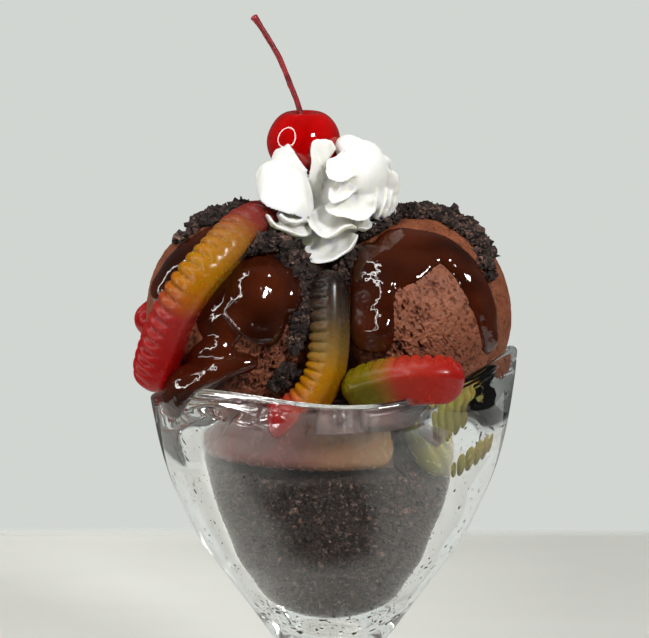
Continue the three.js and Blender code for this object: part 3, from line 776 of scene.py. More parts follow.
# %% The ice cream's finish
ice_finish = Finish(
    "chocolate_ice_cream", Roughness=0.5, Specular_IOR_Level=0.35,
    Subsurface_Weight=0.1, Subsurface_Scale=0.001,
)
streaks = ice_finish.stretched((20, 35, 0), (1.0, 1.0, 0.45))
tiny_pits = ice_finish.noise(0.55, detail=3.0, roughness=0.6, space=streaks)
ice_mottle = ice_finish.noise(6.0, detail=5.0)
ice_base = ice_finish.ramp(
    ice_mottle, [(0.3, (0.14, 0.040, 0.017)), (0.55, (0.20, 0.062, 0.027)), (0.8, (0.27, 0.088, 0.042))]
)
# The pits are painted darker, and so are the tiny pits of the bump: this is painted shade, as less light
# falls into them.
pit_painted_shade = ice_finish.ramp(
    ice_finish.attribute("pit_shade"),
    [(0.0, (1.0, 1.0, 1.0)), (0.4, (0.62, 0.54, 0.5)), (0.95, (0.3, 0.24, 0.21))],
)
tiny_pit_painted_shade = ice_finish.ramp(tiny_pits, [(0.30, (0.6, 0.54, 0.5)), (0.42, (1.0, 1.0, 1.0))])
ice_with_pit_shade = ice_finish.mix(1.0, ice_base, pit_painted_shade, "MULTIPLY")
ice_finish.color(ice_finish.mix(1.0, ice_with_pit_shade, tiny_pit_painted_shade, "MULTIPLY"))
ice_finish.bump(tiny_pits, 0.35, strength=0.8)
print("nodes in the ice cream's finish:", len(ice_finish.tree.nodes))

# %% Three balls
DRAGS = {
    "left": ((0.3, -0.5, 0.8), (-78.0, -24.0), 1.0),
    "right": ((-0.5, 0.0, 0.85), (-102.0, -8.0), 1.0),
    "back": ((0.2, 0.3, 0.9), (60.0, -10.0), 0.75),
}
for scoop, (drag, torn_place, fineness) in DRAGS.items():
    points, faces, numbers = scoop_skin(scoop, drag, torn_place, fineness)
    ball = add_object(f"ice_cream_{scoop}", points, faces, numbers)
    dress(ball, ice_finish, "chocolate_ice_cream", f"scoop_{scoop}")
print("scoops made:", len(DRAGS))

# %% [markdown]
# ## Pressed ice cream
#
# The ice cream below the scoops is wet and smooth where it melts against the glass.
# Rings run from the crumbs up the wall and inwards over the top. Where a ring would
# cut a worm, it goes round behind it, which leaves a pocket as deep as the worm.

# %% Press ice cream into the glass
BED_LEVEL = 117.5


def bed_rings(columns=200):
    """Rings over the crumbs, up the wall and inwards over the top."""
    round_ = 2 * math.pi * np.arange(columns) / columns
    rings = []
    for share in np.linspace(0.05, 1, 8):
        radius = behind_worms((hollow_radius(CRUMB_LEVEL, round_) - 1.3) * share, round_, CRUMB_LEVEL + 1)
        rings.append(polar(radius, round_, crumb_top(radius, round_) + 0.3))
    for height in np.linspace(104.3, 115.5, 24):
        wall = polar(hollow_radius(height, round_), round_, height)
        gap = np.clip(0.6 + 0.4 * lumps(wall, 6.0, 41), 0.3, 1)
        radius = behind_worms(hollow_radius(height, round_) - gap, round_, height)
        rings.append(polar(radius, round_, height))
    for share in np.linspace(1, 0.05, 24):
        radius = (hollow_radius(BED_LEVEL - 1, round_) - 1.1) * share
        radius = behind_worms(radius, round_, BED_LEVEL - 1) if share > 0.6 else radius
        point = polar(radius, round_, 0.0)
        height = BED_LEVEL + 0.05 * point[:, 0] + 1.2 * wave_lumps(point, 8)
        point[:, 2] = height + 0.4 * rough(point, 3.0, 3, 43)
        rings.append(point)
    return rings


print("pressed ice cream reaches up to about", BED_LEVEL, "mm")

# %% The melting ice cream's finish
melt_finish = Finish(
    "melting_ice_cream", Roughness=0.3, Specular_IOR_Level=0.5,
    Subsurface_Weight=0.15, Subsurface_Scale=0.0015,
)
melt_mottle = melt_finish.noise(5.0, detail=4.0, distortion=0.8)
melt_finish.color(
    melt_finish.ramp(
        melt_mottle, [(0.3, (0.05, 0.028, 0.026)), (0.55, (0.10, 0.058, 0.052)), (0.8, (0.2, 0.12, 0.105))]
    )
)
melt_finish.bump(melt_mottle, 0.5, strength=0.5)
bed = add_object("melting_ice_cream_bed", *skin(bed_rings()))
dress(bed, melt_finish, "chocolate_ice_cream", "ice_cream_bed")
print("bed points:", len(bed.data.vertices))

# %% [markdown]
# ## Fudge sauce
#
# Warm fudge runs down the cold scoops and sets into thick tongues with fat round
# ends. A cloth or fluid simulation could pour it, but a sauce stroke is easy to
# describe: a path over the ball, a width at each place, and a section that is
# highest in the middle. The strokes are melted into one surface, which rounds the
# places where they meet just as real sauce does. One tongue at the left has run out
# over the rim, so it has a path of its own that follows the outside of the glass.

# %% One stroke of sauce
SAUCE_THICKNESS = 2.1
SAUCE_RIPPLE = 0.42
SAUCE_SINK = 0.35


def sauce_stroke(scoop, stations, thickness=1.0, seed=0, steps=72, sides=28):
    """A tongue of sauce. Stations are azimuth, elevation and half-width."""
    centre, radius = SCOOPS[scoop]
    path = smooth_path(stations, steps)
    spine = on_scoop(scoop, path[:, 0], path[:, 1])
    out = unit(spine - centre)
    across = unit(np.cross(np.gradient(spine, axis=0), out))
    share = np.linspace(0.004, 0.996, steps)
    rounding = np.sqrt(1 - np.abs(2 * share - 1) ** 9)
    swell = 0.75 + 0.5 * share**3
    turn = 2 * math.pi * np.arange(sides) / sides
    width = path[:, 2] * rounding * (1 + 0.07 * np.sin(9 * share + 2.1 * seed))
    flat = out[:, None] * radius + across[:, None] * (width[:, None] * np.cos(turn))[..., None]
    crown = (SAUCE_THICKNESS * thickness * swell * rounding)[:, None] * np.sin(turn)
    ripple = lumps(spine[:, None] + across[:, None] * (5 * np.cos(turn))[None, :, None], 4.2, 71 + seed)
    lift = crown * (1 + SAUCE_RIPPLE * ripple) - SAUCE_SINK
    return skin(centre + unit(flat) * (radius + lift)[..., None])


print("sauce is about", SAUCE_THICKNESS, "mm thick")

# %% Sauce beside the glass and over its rim
def clear_of_glass(points, gap=0.35):
    """Keeps points that are below the rim inside the hollow."""
    azimuth = np.arctan2(points[:, 1], points[:, 0])
    radius = np.hypot(points[:, 0], points[:, 1])
    below = points[:, 2] < RIM_HEIGHT + wave_at(RIM_HEIGHT, azimuth) + gap
    free = np.minimum(radius, hollow_radius(points[:, 2], azimuth) - gap)
    return polar(np.where(below, free, radius), azimuth, points[:, 2])


RIM_DRIP = [
    # azimuth, reach past the outside of the glass, height above the rim, half-width
    [-122, -9.0, 6.4, 5.4], [-127, -5.5, 5.6, 6.2], [-133, -1.6, 3.9, 6.4], [-137, 1.9, 1.6, 6.0],
    [-140, 2.7, -2.0, 5.0], [-142, 2.2, -5.0, 3.8], [-143, 1.6, -7.4, 2.6],
]


def rim_drip(stations, flatness=0.5, steps=48, sides=28):
    """A tongue of sauce that has run out over the rim."""
    path = smooth_path(stations, steps)
    azimuth = np.radians(path[:, 0])
    top = RIM_HEIGHT + wave_at(RIM_HEIGHT, azimuth)
    spine = polar(profile_radius(OUTSIDE, RIM_HEIGHT) + path[:, 1], azimuth, top + path[:, 2])
    across = polar(np.ones(steps), azimuth + math.pi / 2, np.zeros(steps))
    out = unit(np.cross(across, np.gradient(spine, axis=0)))
    share = np.linspace(0.004, 0.996, steps)
    width = path[:, 3] * np.sqrt(1 - np.abs(2 * share - 1) ** 9)
    turn = 2 * math.pi * np.arange(sides) / sides
    wide = across[:, None] * (width[:, None] * np.cos(turn))[..., None]
    deep = out[:, None] * (flatness * width[:, None] * np.sin(turn))[..., None]
    return skin(spine[:, None] + wide + deep)


print("stations of the tongue over the rim:", len(RIM_DRIP))

# %% Where the sauce runs
SAUCE = {
    # for each stroke: its thickness, then azimuth, elevation and half-width along it
    "left": [
        (1.4, [[-73, 51, 6], [-72, 38, 8.5], [-76, 25, 9.5], [-81, 13, 9.5], [-87, 2, 8.5], [-90, -2, 6]]),
        (0.8, [[-58, 46, 3], [-56, 32, 5], [-58, 18, 4.5], [-60, 8, 3]]),
        (2.0, [[-96, -8, 4.6], [-104, -15, 5.6], [-112, -24, 6.0], [-122, -34, 5.8], [-133, -42, 4.6]]),
        (0.6, [[-104, 38, 3], [-107, 22, 5], [-107, 9, 6], [-99, -2, 6], [-93, -7, 5]]),
        (0.9, [[-95, 69, 5], [-129, 54, 5.5], [-141, 41, 5.5], [-146, 26, 5.5], [-153, 11, 4.5]]),
        (0.8, [[-47, 40, 3], [-50, 26, 2.8], [-51, 12, 2.8], [-51, 0, 2.6]]),
    ],
    "right": [
        (1.35, [[-144, 54, 5.5], [-127, 40, 6.4], [-120, 24, 6.6], [-118, 9, 6.6], [-119, -4, 6.2],
                [-120, -11, 5]]),
        (0.95, [[-139, 55, 5], [-110, 61, 5.5], [-74, 58, 5], [-55, 44, 4.6], [-49, 26, 4.1],
                [-45, 8, 3.8], [-41, -16, 3.0]]),
        (0.5, [[-116, 26, 4], [-104, 38, 5.5], [-91, 48, 5.5], [-72, 53, 5], [-56, 46, 4]]),
        (0.6, [[-112, 56, 5], [-104, 46, 5], [-100, 40, 4]]),
    ],
    "back": [
        (1.0, [[-120, 70, 5], [-160, 62, 6], [-190, 40, 5.5], [-195, 20, 4.5], [-200, 4, 3.5]]),
        (1.0, [[-60, 70, 5], [20, 66, 6], [60, 44, 6], [70, 22, 5], [74, 6, 4]]),
    ],
}
print("strokes of sauce:", sum(len(strokes) for strokes in SAUCE.values()) + 1)

# %% Pour the sauce
sauce_finish = Finish(
    "fudge_sauce", Roughness=0.06, Specular_IOR_Level=0.55, Coat_Weight=0.3, Coat_Roughness=0.03,
    Subsurface_Weight=0.08, Subsurface_Scale=0.001,
)
sauce_mottle = sauce_finish.noise(14.0, detail=1.0)
sauce_finish.color(
    sauce_finish.ramp(sauce_mottle, [(0.3, (0.013, 0.0024, 0.0008)), (0.7, (0.052, 0.009, 0.0026))])
)
sauce_finish.bump(sauce_finish.noise(4.5, detail=2.0), 0.9, strength=0.6)
for scoop, strokes in SAUCE.items():
    skins = []
    for seed, (thickness, stations) in enumerate(strokes):
        points, faces = sauce_stroke(scoop, stations, thickness, seed)
        skins.append((clear_of_glass(points), faces))
    if scoop == "left":
        skins.append(rim_drip(RIM_DRIP))
    sauce = melt(f"fudge_sauce_{scoop}", skins, voxel=0.4, smoothing=6)
    dress(sauce, sauce_finish, "fudge_sauce", f"scoop_{scoop}")
print("sauce poured on:", ", ".join(SAUCE))

# %% [markdown]
# ## Crumbs on top
#
# The same cookie, broken coarser, is strewn over the tops of the scoops and clings
# to the sauce. Each patch is a place on a scoop with a spread, and its chips are
# piled a little higher towards the middle.

# %% Strew crumbs on the scoops
PATCHES = {
    # azimuth, elevation, spread, pile in mm, lift in mm, chips
    "left": [
        (-160, 50, 2.6, 0.3, 0.2, 50), (-158, 59, 3, 0.4, 0.3, 80), (-152, 68, 3.5, 0.6, 0.4, 110),
        (-130, 78, 5, 0.9, 0.6, 160), (90, 80, 10, 1.2, 0.3, 300), (150, 66, 12, 0.6, 0.1, 300),
        (-90, 45, 4.5, 0.7, 2.7, 90), (-78, 47, 5, 0.8, 3.0, 120), (-65, 48, 6, 0.9, 3.0, 150),
        (-52, 41, 8, 0.9, 1.4, 230), (-46, 31, 9, 0.8, 0.6, 260), (-42, 21, 8, 0.9, 0.4, 220),
        (-48, 12, 8, 0.8, 0.7, 210), (-54, 3, 8, 0.8, 0.4, 180), (-57, -6, 6, 0.6, 0.3, 110),
        (-60, -26, 4, 0.6, 0.2, 80), (-66, -33, 5, 0.6, 0.2, 90),
    ],
    "right": [
        (134, 74, 9, 1.8, 0.5, 300), (99, 78, 10, 2.2, 0.6, 380), (50, 76, 10, 2.4, 0.6, 420),
        (28, 69, 10, 2.5, 0.6, 420), (0, 63, 9, 2.4, 0.4, 400), (-12, 54, 8, 2.0, 0.4, 340),
        (-19, 45, 6, 1.5, 0.3, 220), (-30, 36, 8, 0.3, 0.1, 70), (-163, 70, 8, 1.4, 1.0, 260),
        (-152, 60, 6, 1.0, 1.6, 180), (-150, 40, 7, 0.9, 0.5, 180), (-146, 24, 7, 0.8, 0.3, 150),
        (60, 52, 16, 1.2, 0.2, 320),
    ],
    "back": [
        (20, 62, 26, 1.6, 0.3, 900), (120, 48, 26, 1.2, 0.3, 700), (-100, 60, 20, 1.0, 0.3, 290),
    ],
}


def patch_chips(scoop, azimuth, elevation, spread, pile, lift, count, draw):
    """Places and sizes of the chips of one patch."""
    reach = spread * np.sqrt(draw.uniform(0, 1, count)) * draw.uniform(0.7, 1.2, count)
    turn = draw.uniform(0, 2 * math.pi, count)
    up = elevation + reach * np.sin(turn)
    sideways = azimuth + reach * np.cos(turn) / np.maximum(0.3, np.cos(np.radians(elevation)))
    size = 0.25 + 1.5 * draw.uniform(0, 1, count) ** 4
    height = pile * np.clip(1 - (reach / spread) ** 2, 0, 1) * draw.uniform(0, 1, count)
    over = up > 90
    up = np.where(over, 180 - up, up)
    sideways = np.where(over, sideways + 180, sideways)
    return on_scoop(scoop, sideways, up, lift + 0.3 * size + height), size


COARSE_FROM = 0.6
draw = np.random.default_rng(77)
chip_sets = [patch_chips(scoop, *patch, draw) for scoop, patches in PATCHES.items() for patch in patches]
top_places = np.concatenate([places for places, _ in chip_sets])
top_sizes = np.concatenate([sizes for _, sizes in chip_sets])
big = top_sizes > COARSE_FROM
coarse = scatter_chips("cookie_crumbs_coarse", top_places[big], top_sizes[big], 2, 0.75, seed=51)
small = scatter_chips("cookie_crumbs_fine", top_places[~big], top_sizes[~big], 1, 0.6, seed=61)
for piece in (coarse, small):
    dress(piece, crumb_finish, "cookie_crumb", "scoop_left", "scoop_right", "scoop_back")


print("crumbs on top:", int(big.sum()), "coarse and", int((~big).sum()), "fine")

# %% [markdown]
# ## Gummy worms
#
# A gummy worm is cast in starch in one half mould, so it is ridged and round on
# top and flat below, and its two colours bleed into each other in the middle. It
# is swept along its path with a D-shaped section whose radius pulses at each
# ridge. The share of the way along is stored on every point, and the finish turns
# it into colour.

# %% One gummy worm
RIDGE_PITCH = 2.6
RIDGE_DEPTH = 0.975
FLAT_SHARE = 0.75


def worm_skin(path, down, half_width, sides=40, steps_per_ridge=10):
    """A ridged worm along a path, with its flat side towards down."""
    rough_spine = smooth_path(path, 400)
    run = np.concatenate([[0], np.cumsum(np.linalg.norm(np.diff(rough_spine, axis=0), axis=1))])
    length = run[-1]
    ridges = round(length / RIDGE_PITCH)
    share = np.linspace(0, 1, ridges * steps_per_ridge + 1)
    ends = 0.5 - 0.5 * np.cos(math.pi * share)
    blend = np.exp(-np.minimum(share, 1 - share) / 0.02)
    share = share * (1 - blend) + ends * blend
    spine = np.stack([np.interp(share * length, run, rough_spine[:, i]) for i in range(3)], axis=-1)
    along = unit(np.gradient(spine, axis=0))
    across = unit(np.cross(along, np.broadcast_to(np.array(down, float), along.shape)))
    under = unit(np.cross(across, along))
    from_end = np.minimum(share, 1 - share) * length
    taper = np.sqrt(1 - np.clip(1 - (from_end + 0.02) / half_width, 0, 1) ** 2)
    phase = np.abs(np.sin(math.pi * share * ridges))
    ridge = RIDGE_DEPTH * (1 - phase**0.6) * np.clip(from_end / 2.5, 0, 1)
    turn = 2 * math.pi * np.arange(sides) / sides
    round_side = np.clip((np.cos(turn) + 0.35) / 0.6, 0, 1)
    radius = (half_width * taper)[:, None] - ridge[:, None] * round_side
    drop = -radius * np.cos(turn)
    flat = (FLAT_SHARE * half_width * taper)[:, None]
    corner = 0.12 * half_width
    bend = flat - corner
    drop = np.where(drop > bend, bend + corner * np.tanh((drop - bend) / corner), drop)
    rings = (
        spine[:, None]
        + across[:, None] * (radius * np.sin(turn))[..., None]
        + under[:, None] * drop[..., None]
    )
    points, faces = skin(rings)
    stored = np.append(np.repeat(share, sides), [0.0, 1.0])
    return points, faces, {"along": stored}


print("ridges are", RIDGE_PITCH, "mm apart and", RIDGE_DEPTH, "mm deep")

# %% The worms' colours
RED = (0.34, 0.004, 0.004)
PINK = (0.30, 0.02, 0.018)
PLUM = (0.12, 0.003, 0.005)
AMBER = (0.38, 0.135, 0.001)
GOLD = (0.38, 0.165, 0.002)
OLIVE = (0.15, 0.115, 0.002)
SMOKE = (0.07, 0.045, 0.028)


def gummy_finish(name, stops):
    """Translucent jelly whose colour changes along the worm."""
    finish = Finish(
        name, Roughness=0.22, IOR=1.42, Specular_IOR_Level=0.2, Transmission_Weight=0.3,
        Subsurface_Weight=0.5, Subsurface_Scale=0.0025, Coat_Weight=0.06, Coat_Roughness=0.12,
    )
    cloud = finish.math("MULTIPLY", finish.math("SUBTRACT", finish.noise(9.0, detail=2.0), 0.5), 0.1)
    finish.color(finish.ramp(finish.math("ADD", finish.attribute("along"), cloud), stops))
    finish.roughness(finish.noise(1.5, detail=3.0), 0.18, 0.34)
    finish.bump(finish.noise(2.5, detail=2.0), 0.1, strength=0.3)
    return finish


WORM_COLOURS = {
    "worm_left": (
        "gummy_red", [(0.10, PLUM), (0.2, (0.22, 0.03, 0.02)), (0.3, (0.34, 0.14, 0.02)), (0.42, GOLD),
                      (0.52, AMBER), (0.62, PINK), (0.8, RED)],
    ),
    "worm_left_back": ("gummy_red", [(0.3, PLUM), (0.7, RED)]),
    "worm_middle": (
        "gummy_amber", [(0.1, (0.02, 0.012, 0.01)), (0.26, SMOKE), (0.42, (0.24, 0.14, 0.03)), (0.55, GOLD),
                        (0.7, AMBER), (0.78, (0.4, 0.05, 0.02)), (0.9, RED)],
    ),
    "worm_right": (
        "gummy_red", [(0.0, OLIVE), (0.3, OLIVE), (0.42, (0.26, 0.10, 0.01)),
                      (0.52, (0.36, 0.03, 0.015)), (1.0, RED)],
    ),
    "worm_inner_front": (
        "gummy_red", [(0.04, (0.24, 0.19, 0.05)), (0.16, (0.17, 0.055, 0.045)),
                      (0.55, (0.15, 0.045, 0.035)), (0.7, (0.20, 0.09, 0.045)), (0.95, (0.24, 0.14, 0.06))],
    ),
    "worm_inner_green": ("gummy_green", [(0.2, (0.26, 0.2, 0.035)), (0.7, (0.23, 0.21, 0.045))]),
}
for name, (slot, stops) in WORM_COLOURS.items():
    points, faces, numbers = worm_skin(**WORM_PATHS[name])
    worm = add_object(f"gummy_{name}", points, faces, numbers)
    dress(worm, gummy_finish(f"gummy_of_{name}", stops), slot, name)
print("worms made:", len(WORM_COLOURS))

# %% [markdown]
# ## Whipped cream
#
# Cream is piped through a star nozzle, and the points of the star become thin
# petals that curl over one another, with deep creases between them. A petal is a
# sheet between two curves: a root that is hidden in the heap, and a free rim. It
# swells in the middle and thins out to the rim. The petals and a few round lobes
# inside them are melted together, with little smoothing, so that the rims stay
# crisp and the creases stay deep.

# %% One petal of cream
CREAM_MIDDLE = np.array([-0.5, -3.0, 164.0])
FLUTE_DEPTH = 0.3
RUFFLE = 0.45


def petal_skin(root, rim, swell, body=1.7, edge=0.42, across=56, out=22):
    """A tongue of cream from its hidden root curve to its thin rim curve."""
    share = np.linspace(0, 1, out)[None, :, None]
    sheet = smooth_path(root, across)[:, None] * (1 - share) + smooth_path(rim, across)[:, None] * share
    normal = unit(np.cross(np.gradient(sheet, axis=0), np.gradient(sheet, axis=1)) + 1e-9)
    away = np.sign((normal * (sheet - CREAM_MIDDLE)).sum(axis=-1).mean())
    normal = normal * away
    side = np.linspace(-1, 1, across)[:, None, None]
    dome = swell * np.sin(math.pi * share**0.85) * (1.35 - 1.1 * side**2)
    flute = FLUTE_DEPTH * np.cos(2.6 * math.pi * side + 3.5 * share) * np.sin(math.pi * share**0.8)
    sheet = sheet + normal * (dome + flute + RUFFLE * share * lumps(sheet, 2.6, 81)[..., None])
    thick = (body * (1 - share) + edge * share) * np.sqrt(1 - share**10) * np.sqrt(1 - np.abs(side) ** 7)
    return skin(np.concatenate([sheet + normal * thick, (sheet - normal * thick)[:, ::-1]], axis=1))


def lobe_skin(centre, size, rows=20, columns=28):
    """A round lobe from its middle and half-sizes."""
    el = np.linspace(-1.5, 1.5, rows)[:, None]
    az = (2 * math.pi * np.arange(columns) / columns)[None, :]
    shape = np.stack([np.cos(el) * np.cos(az), np.cos(el) * np.sin(az), np.sin(el) + 0 * az], axis=-1)
    return skin(np.array(centre) + shape * np.array(size))


print("flutes are", FLUTE_DEPTH, "mm deep")

# %% [markdown]
# The petals of the front are all different, so they are marked one by one on an
# enlarged front view, not made by a loop. Each point is its place across that sheet
# and down it, and then its y in mm, which is negative towards the camera and is a
# judgement. The function below looks along the camera's line of sight and
# says where in the scene that point is.

# %% From the tracing sheet to the scene
ELEVATION = math.radians(12)
DISTANCE = 0.8
PIXELS_PER_METRE = 3980.0
SHEET_ENLARGEMENT = 6
SHEET_PER_MM = SHEET_ENLARGEMENT * PIXELS_PER_METRE * METRE
SHEET_MIDDLE = (486, 1434)
LEVEL_AT_MIDDLE = 122.0


def from_sheet(places):
    """Points in mm, from places across and down the sheet and y in mm."""
    across, down, y = np.array(places, float).T
    spread = 1 + math.cos(ELEVATION) * y * METRE / DISTANCE
    x = (across - SHEET_MIDDLE[0]) / SHEET_PER_MM * spread
    drop = (down - SHEET_MIDDLE[1]) / SHEET_PER_MM * spread + y * math.sin(ELEVATION)
    points = np.stack([x, y, LEVEL_AT_MIDDLE - drop / math.cos(ELEVATION)], axis=-1)
    return np.round(points, 1)


print("sheet units to the mm:", round(SHEET_PER_MM, 2))

# %% Petals and lobes of the front
FRONT_PETALS = [
    # The big smooth petal at the left, and the two thin ones that it lies on.
    ([[330, 250, -12], [230, 200, -9.5], [110, 250, -7]],
     [[392, 478, -19.5], [345, 532, -22.6], [270, 512, -24.2], [180, 492, -24.8], [92, 455, -24],
      [48, 400, -20.5], [44, 335, -14]], 2.4),
    ([[330, 510, -15], [130, 490, -13]],
     [[345, 540, -22.3], [292, 556, -24.4], [238, 545, -25.2], [180, 505, -25.6]], 0.4),
    ([[360, 560, -15], [110, 520, -14]],
     [[374, 622, -21.5], [318, 626, -24.2], [240, 608, -25.8], [180, 585, -26.6], [130, 548, -26.8],
      [92, 500, -25.8]], 0.6),
    ([[380, 600, -13], [50, 500, -15]],
     [[388, 668, -19.5], [352, 704, -21.5], [305, 724, -23.2], [230, 716, -25], [150, 690, -26.6],
      [90, 640, -27.4], [48, 582, -27], [24, 512, -25.5]], 1.6),
    # The wavy ribbon in the middle, and the leaf below it.
    ([[390, 480, -13], [600, 540, -12]],
     [[352, 492, -20], [354, 552, -22.6], [386, 602, -24.4], [440, 640, -25], [495, 618, -24.6],
      [560, 582, -24], [612, 570, -23.4], [650, 592, -21]], -1.0),
    ([[395, 640, -15], [600, 610, -13]],
     [[300, 766, -22.8], [342, 787, -24.2], [420, 796, -25], [500, 776, -25], [560, 742, -24.4],
      [620, 684, -23.2], [650, 622, -20.6]], 1.3),
    # The flat-topped petal in the middle, the sloping one left of it, and the ear.
    ([[385, 400, -12.5], [430, 230, -10.5]],
     [[345, 330, -13.5], [368, 200, -14.2], [370, 110, -14], [378, 72, -13.8], [430, 60, -13.5],
      [490, 70, -13], [524, 122, -12]], 0.6),
    ([[160, 290, -7], [330, 330, -11]],
     [[128, 180, -8], [158, 118, -9.5], [205, 92, -11], [246, 94, -12.6], [290, 165, -13.6],
      [352, 245, -14.2]], 1.3),
    ([[170, 290, -6], [90, 380, -7]],
     [[155, 178, -7], [80, 212, -6.5], [44, 255, -5.5], [36, 295, -5.5], [62, 326, -8]], 0.8),
    # Three short folds, one over the other, on the big mass at the right.
    ([[520, 180, -11], [640, 200, -11]],
     [[462, 180, -15.5], [452, 230, -18.2], [462, 290, -20.2], [500, 312, -21.2], [560, 312, -21.6],
      [612, 300, -21], [640, 262, -19]], 1.6),
    ([[520, 330, -13], [650, 330, -13]],
     [[478, 345, -18.6], [474, 400, -20.4], [492, 436, -21.6], [545, 432, -22.2], [600, 408, -22],
      [632, 360, -20.6]], 1.0),
    ([[500, 450, -13], [700, 420, -11]],
     [[452, 440, -18], [462, 490, -21], [510, 514, -22.6], [575, 530, -23.4], [650, 548, -23.4],
      [704, 538, -22], [745, 505, -20], [764, 470, -17]], 1.8),
    # Folds that run down the outside of the big mass, and the thin one under it.
    ([[600, 150, -9], [700, 260, -10]],
     [[600, 40, -7], [655, 58, -9], [705, 92, -11], [780, 142, -11.5], [838, 186, -10.5],
      [850, 232, -9]], 0.9),
    ([[700, 260, -9], [740, 440, -9]],
     [[770, 215, -14], [840, 240, -12], [884, 292, -10], [898, 345, -8.5], [886, 400, -9],
      [862, 440, -11]], 1.0),
    ([[700, 260, -11], [690, 470, -12]],
     [[700, 240, -16.5], [742, 300, -17.5], [757, 380, -18], [748, 460, -18.5], [730, 505, -19]], 0.8),
    ([[560, 560, -12], [740, 500, -10]],
     [[650, 592, -18], [705, 592, -17.5], [760, 565, -15.5], [802, 538, -13]], 0.5),
    # Narrow upright pleats at the right edge.
    ([[770, 330, -8], [760, 500, -10]],
     [[822, 352, -15], [800, 430, -17], [776, 500, -17.6], [757, 545, -17]], 0.7),
    ([[800, 330, -7], [790, 500, -8]],
     [[852, 372, -12.5], [834, 450, -14.6], [812, 510, -15], [796, 545, -14.4]], 0.7),
    ([[820, 340, -6], [810, 500, -6]],
     [[884, 392, -9], [866, 450, -11.4], [848, 510, -12], [834, 548, -11.6]], 0.7),
]
print("front petals:", len(FRONT_PETALS))

# %% Lobes inside the petals
CREAM_LOBES = [
    # middle, and half-sizes along x, y and z
    ([0, -3, 165], [12, 10.5, 12.5]), ([-11.5, -11, 169.8], [6, 8, 5.2]),
    ([7.8, -9.5, 173.6], [6.4, 10, 8]), ([8.2, -9.5, 167.8], [6, 9.5, 4.4]),
    ([0.5, -11, 159.5], [7, 6, 4.5]), ([-8.5, -10, 161.5], [6.5, 8.5, 4]),
    ([4.2, -8, 179.8], [3.4, 3.6, 3]), ([8, -7.5, 178], [3.4, 3.6, 3]),
    ([12, -6.5, 174.6], [3.2, 3.4, 3.2]), ([14.6, -5.5, 171], [2.4, 3, 2.8]),
    ([-8.5, 3.5, 168], [4.4, 4.4, 5]), ([7.5, 4, 168], [4.8, 4.4, 5]),
    ([-0.5, 5, 172], [4.6, 4.2, 5]), ([1, 5, 159.5], [10, 6, 4.5]),
]
print("lobes:", len(CREAM_LOBES))

# %% [markdown]
# The far side is piped in three even turns of the nozzle, so a loop makes it: each
# turn has petals of its own size and reach, turned by half a petal from the turn
# below.

# %% Petals of the far side
def ring_petal(level, reach, middle, spread=15.0, droop=3.2):
    """One petal of a turn of the nozzle, at an azimuth in degrees."""
    turn = np.radians(middle + spread * np.linspace(-1, 1, 5))
    crown = 1 - np.linspace(-1, 1, 5) ** 2
    rim_radius = reach - 2.2 + 2.2 * crown
    rim = polar(rim_radius, turn, level - droop - 0.6 * crown) + CREAM_MIDDLE * [1, 0.6, 0]
    root = polar(0.45 * reach, turn[[0, 2, 4]], level + 2.4) + CREAM_MIDDLE * [1, 0.6, 0]
    return petal_skin(root, rim, 1.3)


cream_skins = [petal_skin(from_sheet(root), from_sheet(rim), swell) for root, rim, swell in FRONT_PETALS]
cream_skins += [lobe_skin(*lobe) for lobe in CREAM_LOBES]
for level, reach, offset in ((163.0, 17.5, 0), (169.5, 15.5, 14), (176.0, 12.0, 0)):
    cream_skins += [ring_petal(level, reach, middle + offset) for middle in range(8, 170, 28)]


print("petals and lobes in all:", len(cream_skins))

# %% The cream's finish, and the melt
cream_finish = Finish(
    "whipped_cream", Roughness=0.45, Specular_IOR_Level=0.35,
    Subsurface_Weight=0.6, Subsurface_Scale=0.0025, Subsurface_Radius=(1.0, 0.95, 0.55),
)
cream_mottle = cream_finish.noise(5.0, detail=3.0)
cream_finish.color(
    cream_finish.ramp(cream_mottle, [(0.3, (0.66, 0.656, 0.62)), (0.7, (0.72, 0.716, 0.685))])
)
cream_finish.bump(cream_finish.noise(1.0, detail=4.0), 0.1, strength=0.3)
cream = melt("whipped_cream_piece", cream_skins, voxel=0.33, smoothing=2)
dress(cream, cream_finish, "whipped_cream", "whipped_cream")
print("cream is", round(cream.dimensions.x * 1000, 1), "mm wide")

# %% [markdown]
# ## The cherry
#
# A candied cherry is a little wider than high, with a dimple for the stem and a
# skin like glass. Its red is deep, so the colour is almost black where light
# can't get through, and the skin is given a clear coat.

# %% The cherry
CHERRY_CENTRE = np.array([-6.7, -4, 180.3])
CHERRY_RADIUS = 9.1


def cherry_rings(rows=72, columns=96):
    """Rings of the cherry from its dimple down."""
    angle = math.pi * (np.arange(rows) + 0.5) / rows
    around = 2 * math.pi * np.arange(columns) / columns
    dimple = 2.2 * np.exp(-((angle / 0.36) ** 2))
    height = 0.97 * CHERRY_RADIUS * np.cos(angle) - dimple
    radius = CHERRY_RADIUS * np.sin(angle)
    rings = polar(radius[:, None], around[None, :], height[:, None])
    rings *= 1 + 0.012 * lumps(rings, 5.0, 91)[..., None]
    return rings + CHERRY_CENTRE


print("cherry is", 2 * CHERRY_RADIUS, "mm wide")

# %% The cherry's finish
cherry_finish = Finish(
    "candied_cherry", Roughness=0.05, Specular_IOR_Level=0.5, Coat_Weight=0.4, Coat_Roughness=0.02,
    Subsurface_Weight=0.25, Subsurface_Scale=0.002,
)
cherry_finish.color(
    cherry_finish.ramp(
        cherry_finish.noise(5.0, detail=3.0), [(0.3, (0.27, 0.0, 0.0)), (0.7, (0.40, 0.0004, 0.0008))]
    )
)
cherry = add_object("cherry_piece", *skin(cherry_rings()))
dress(cherry, cherry_finish, "cherry", "cherry")
print("nodes in the cherry's finish:", len(cherry_finish.tree.nodes))

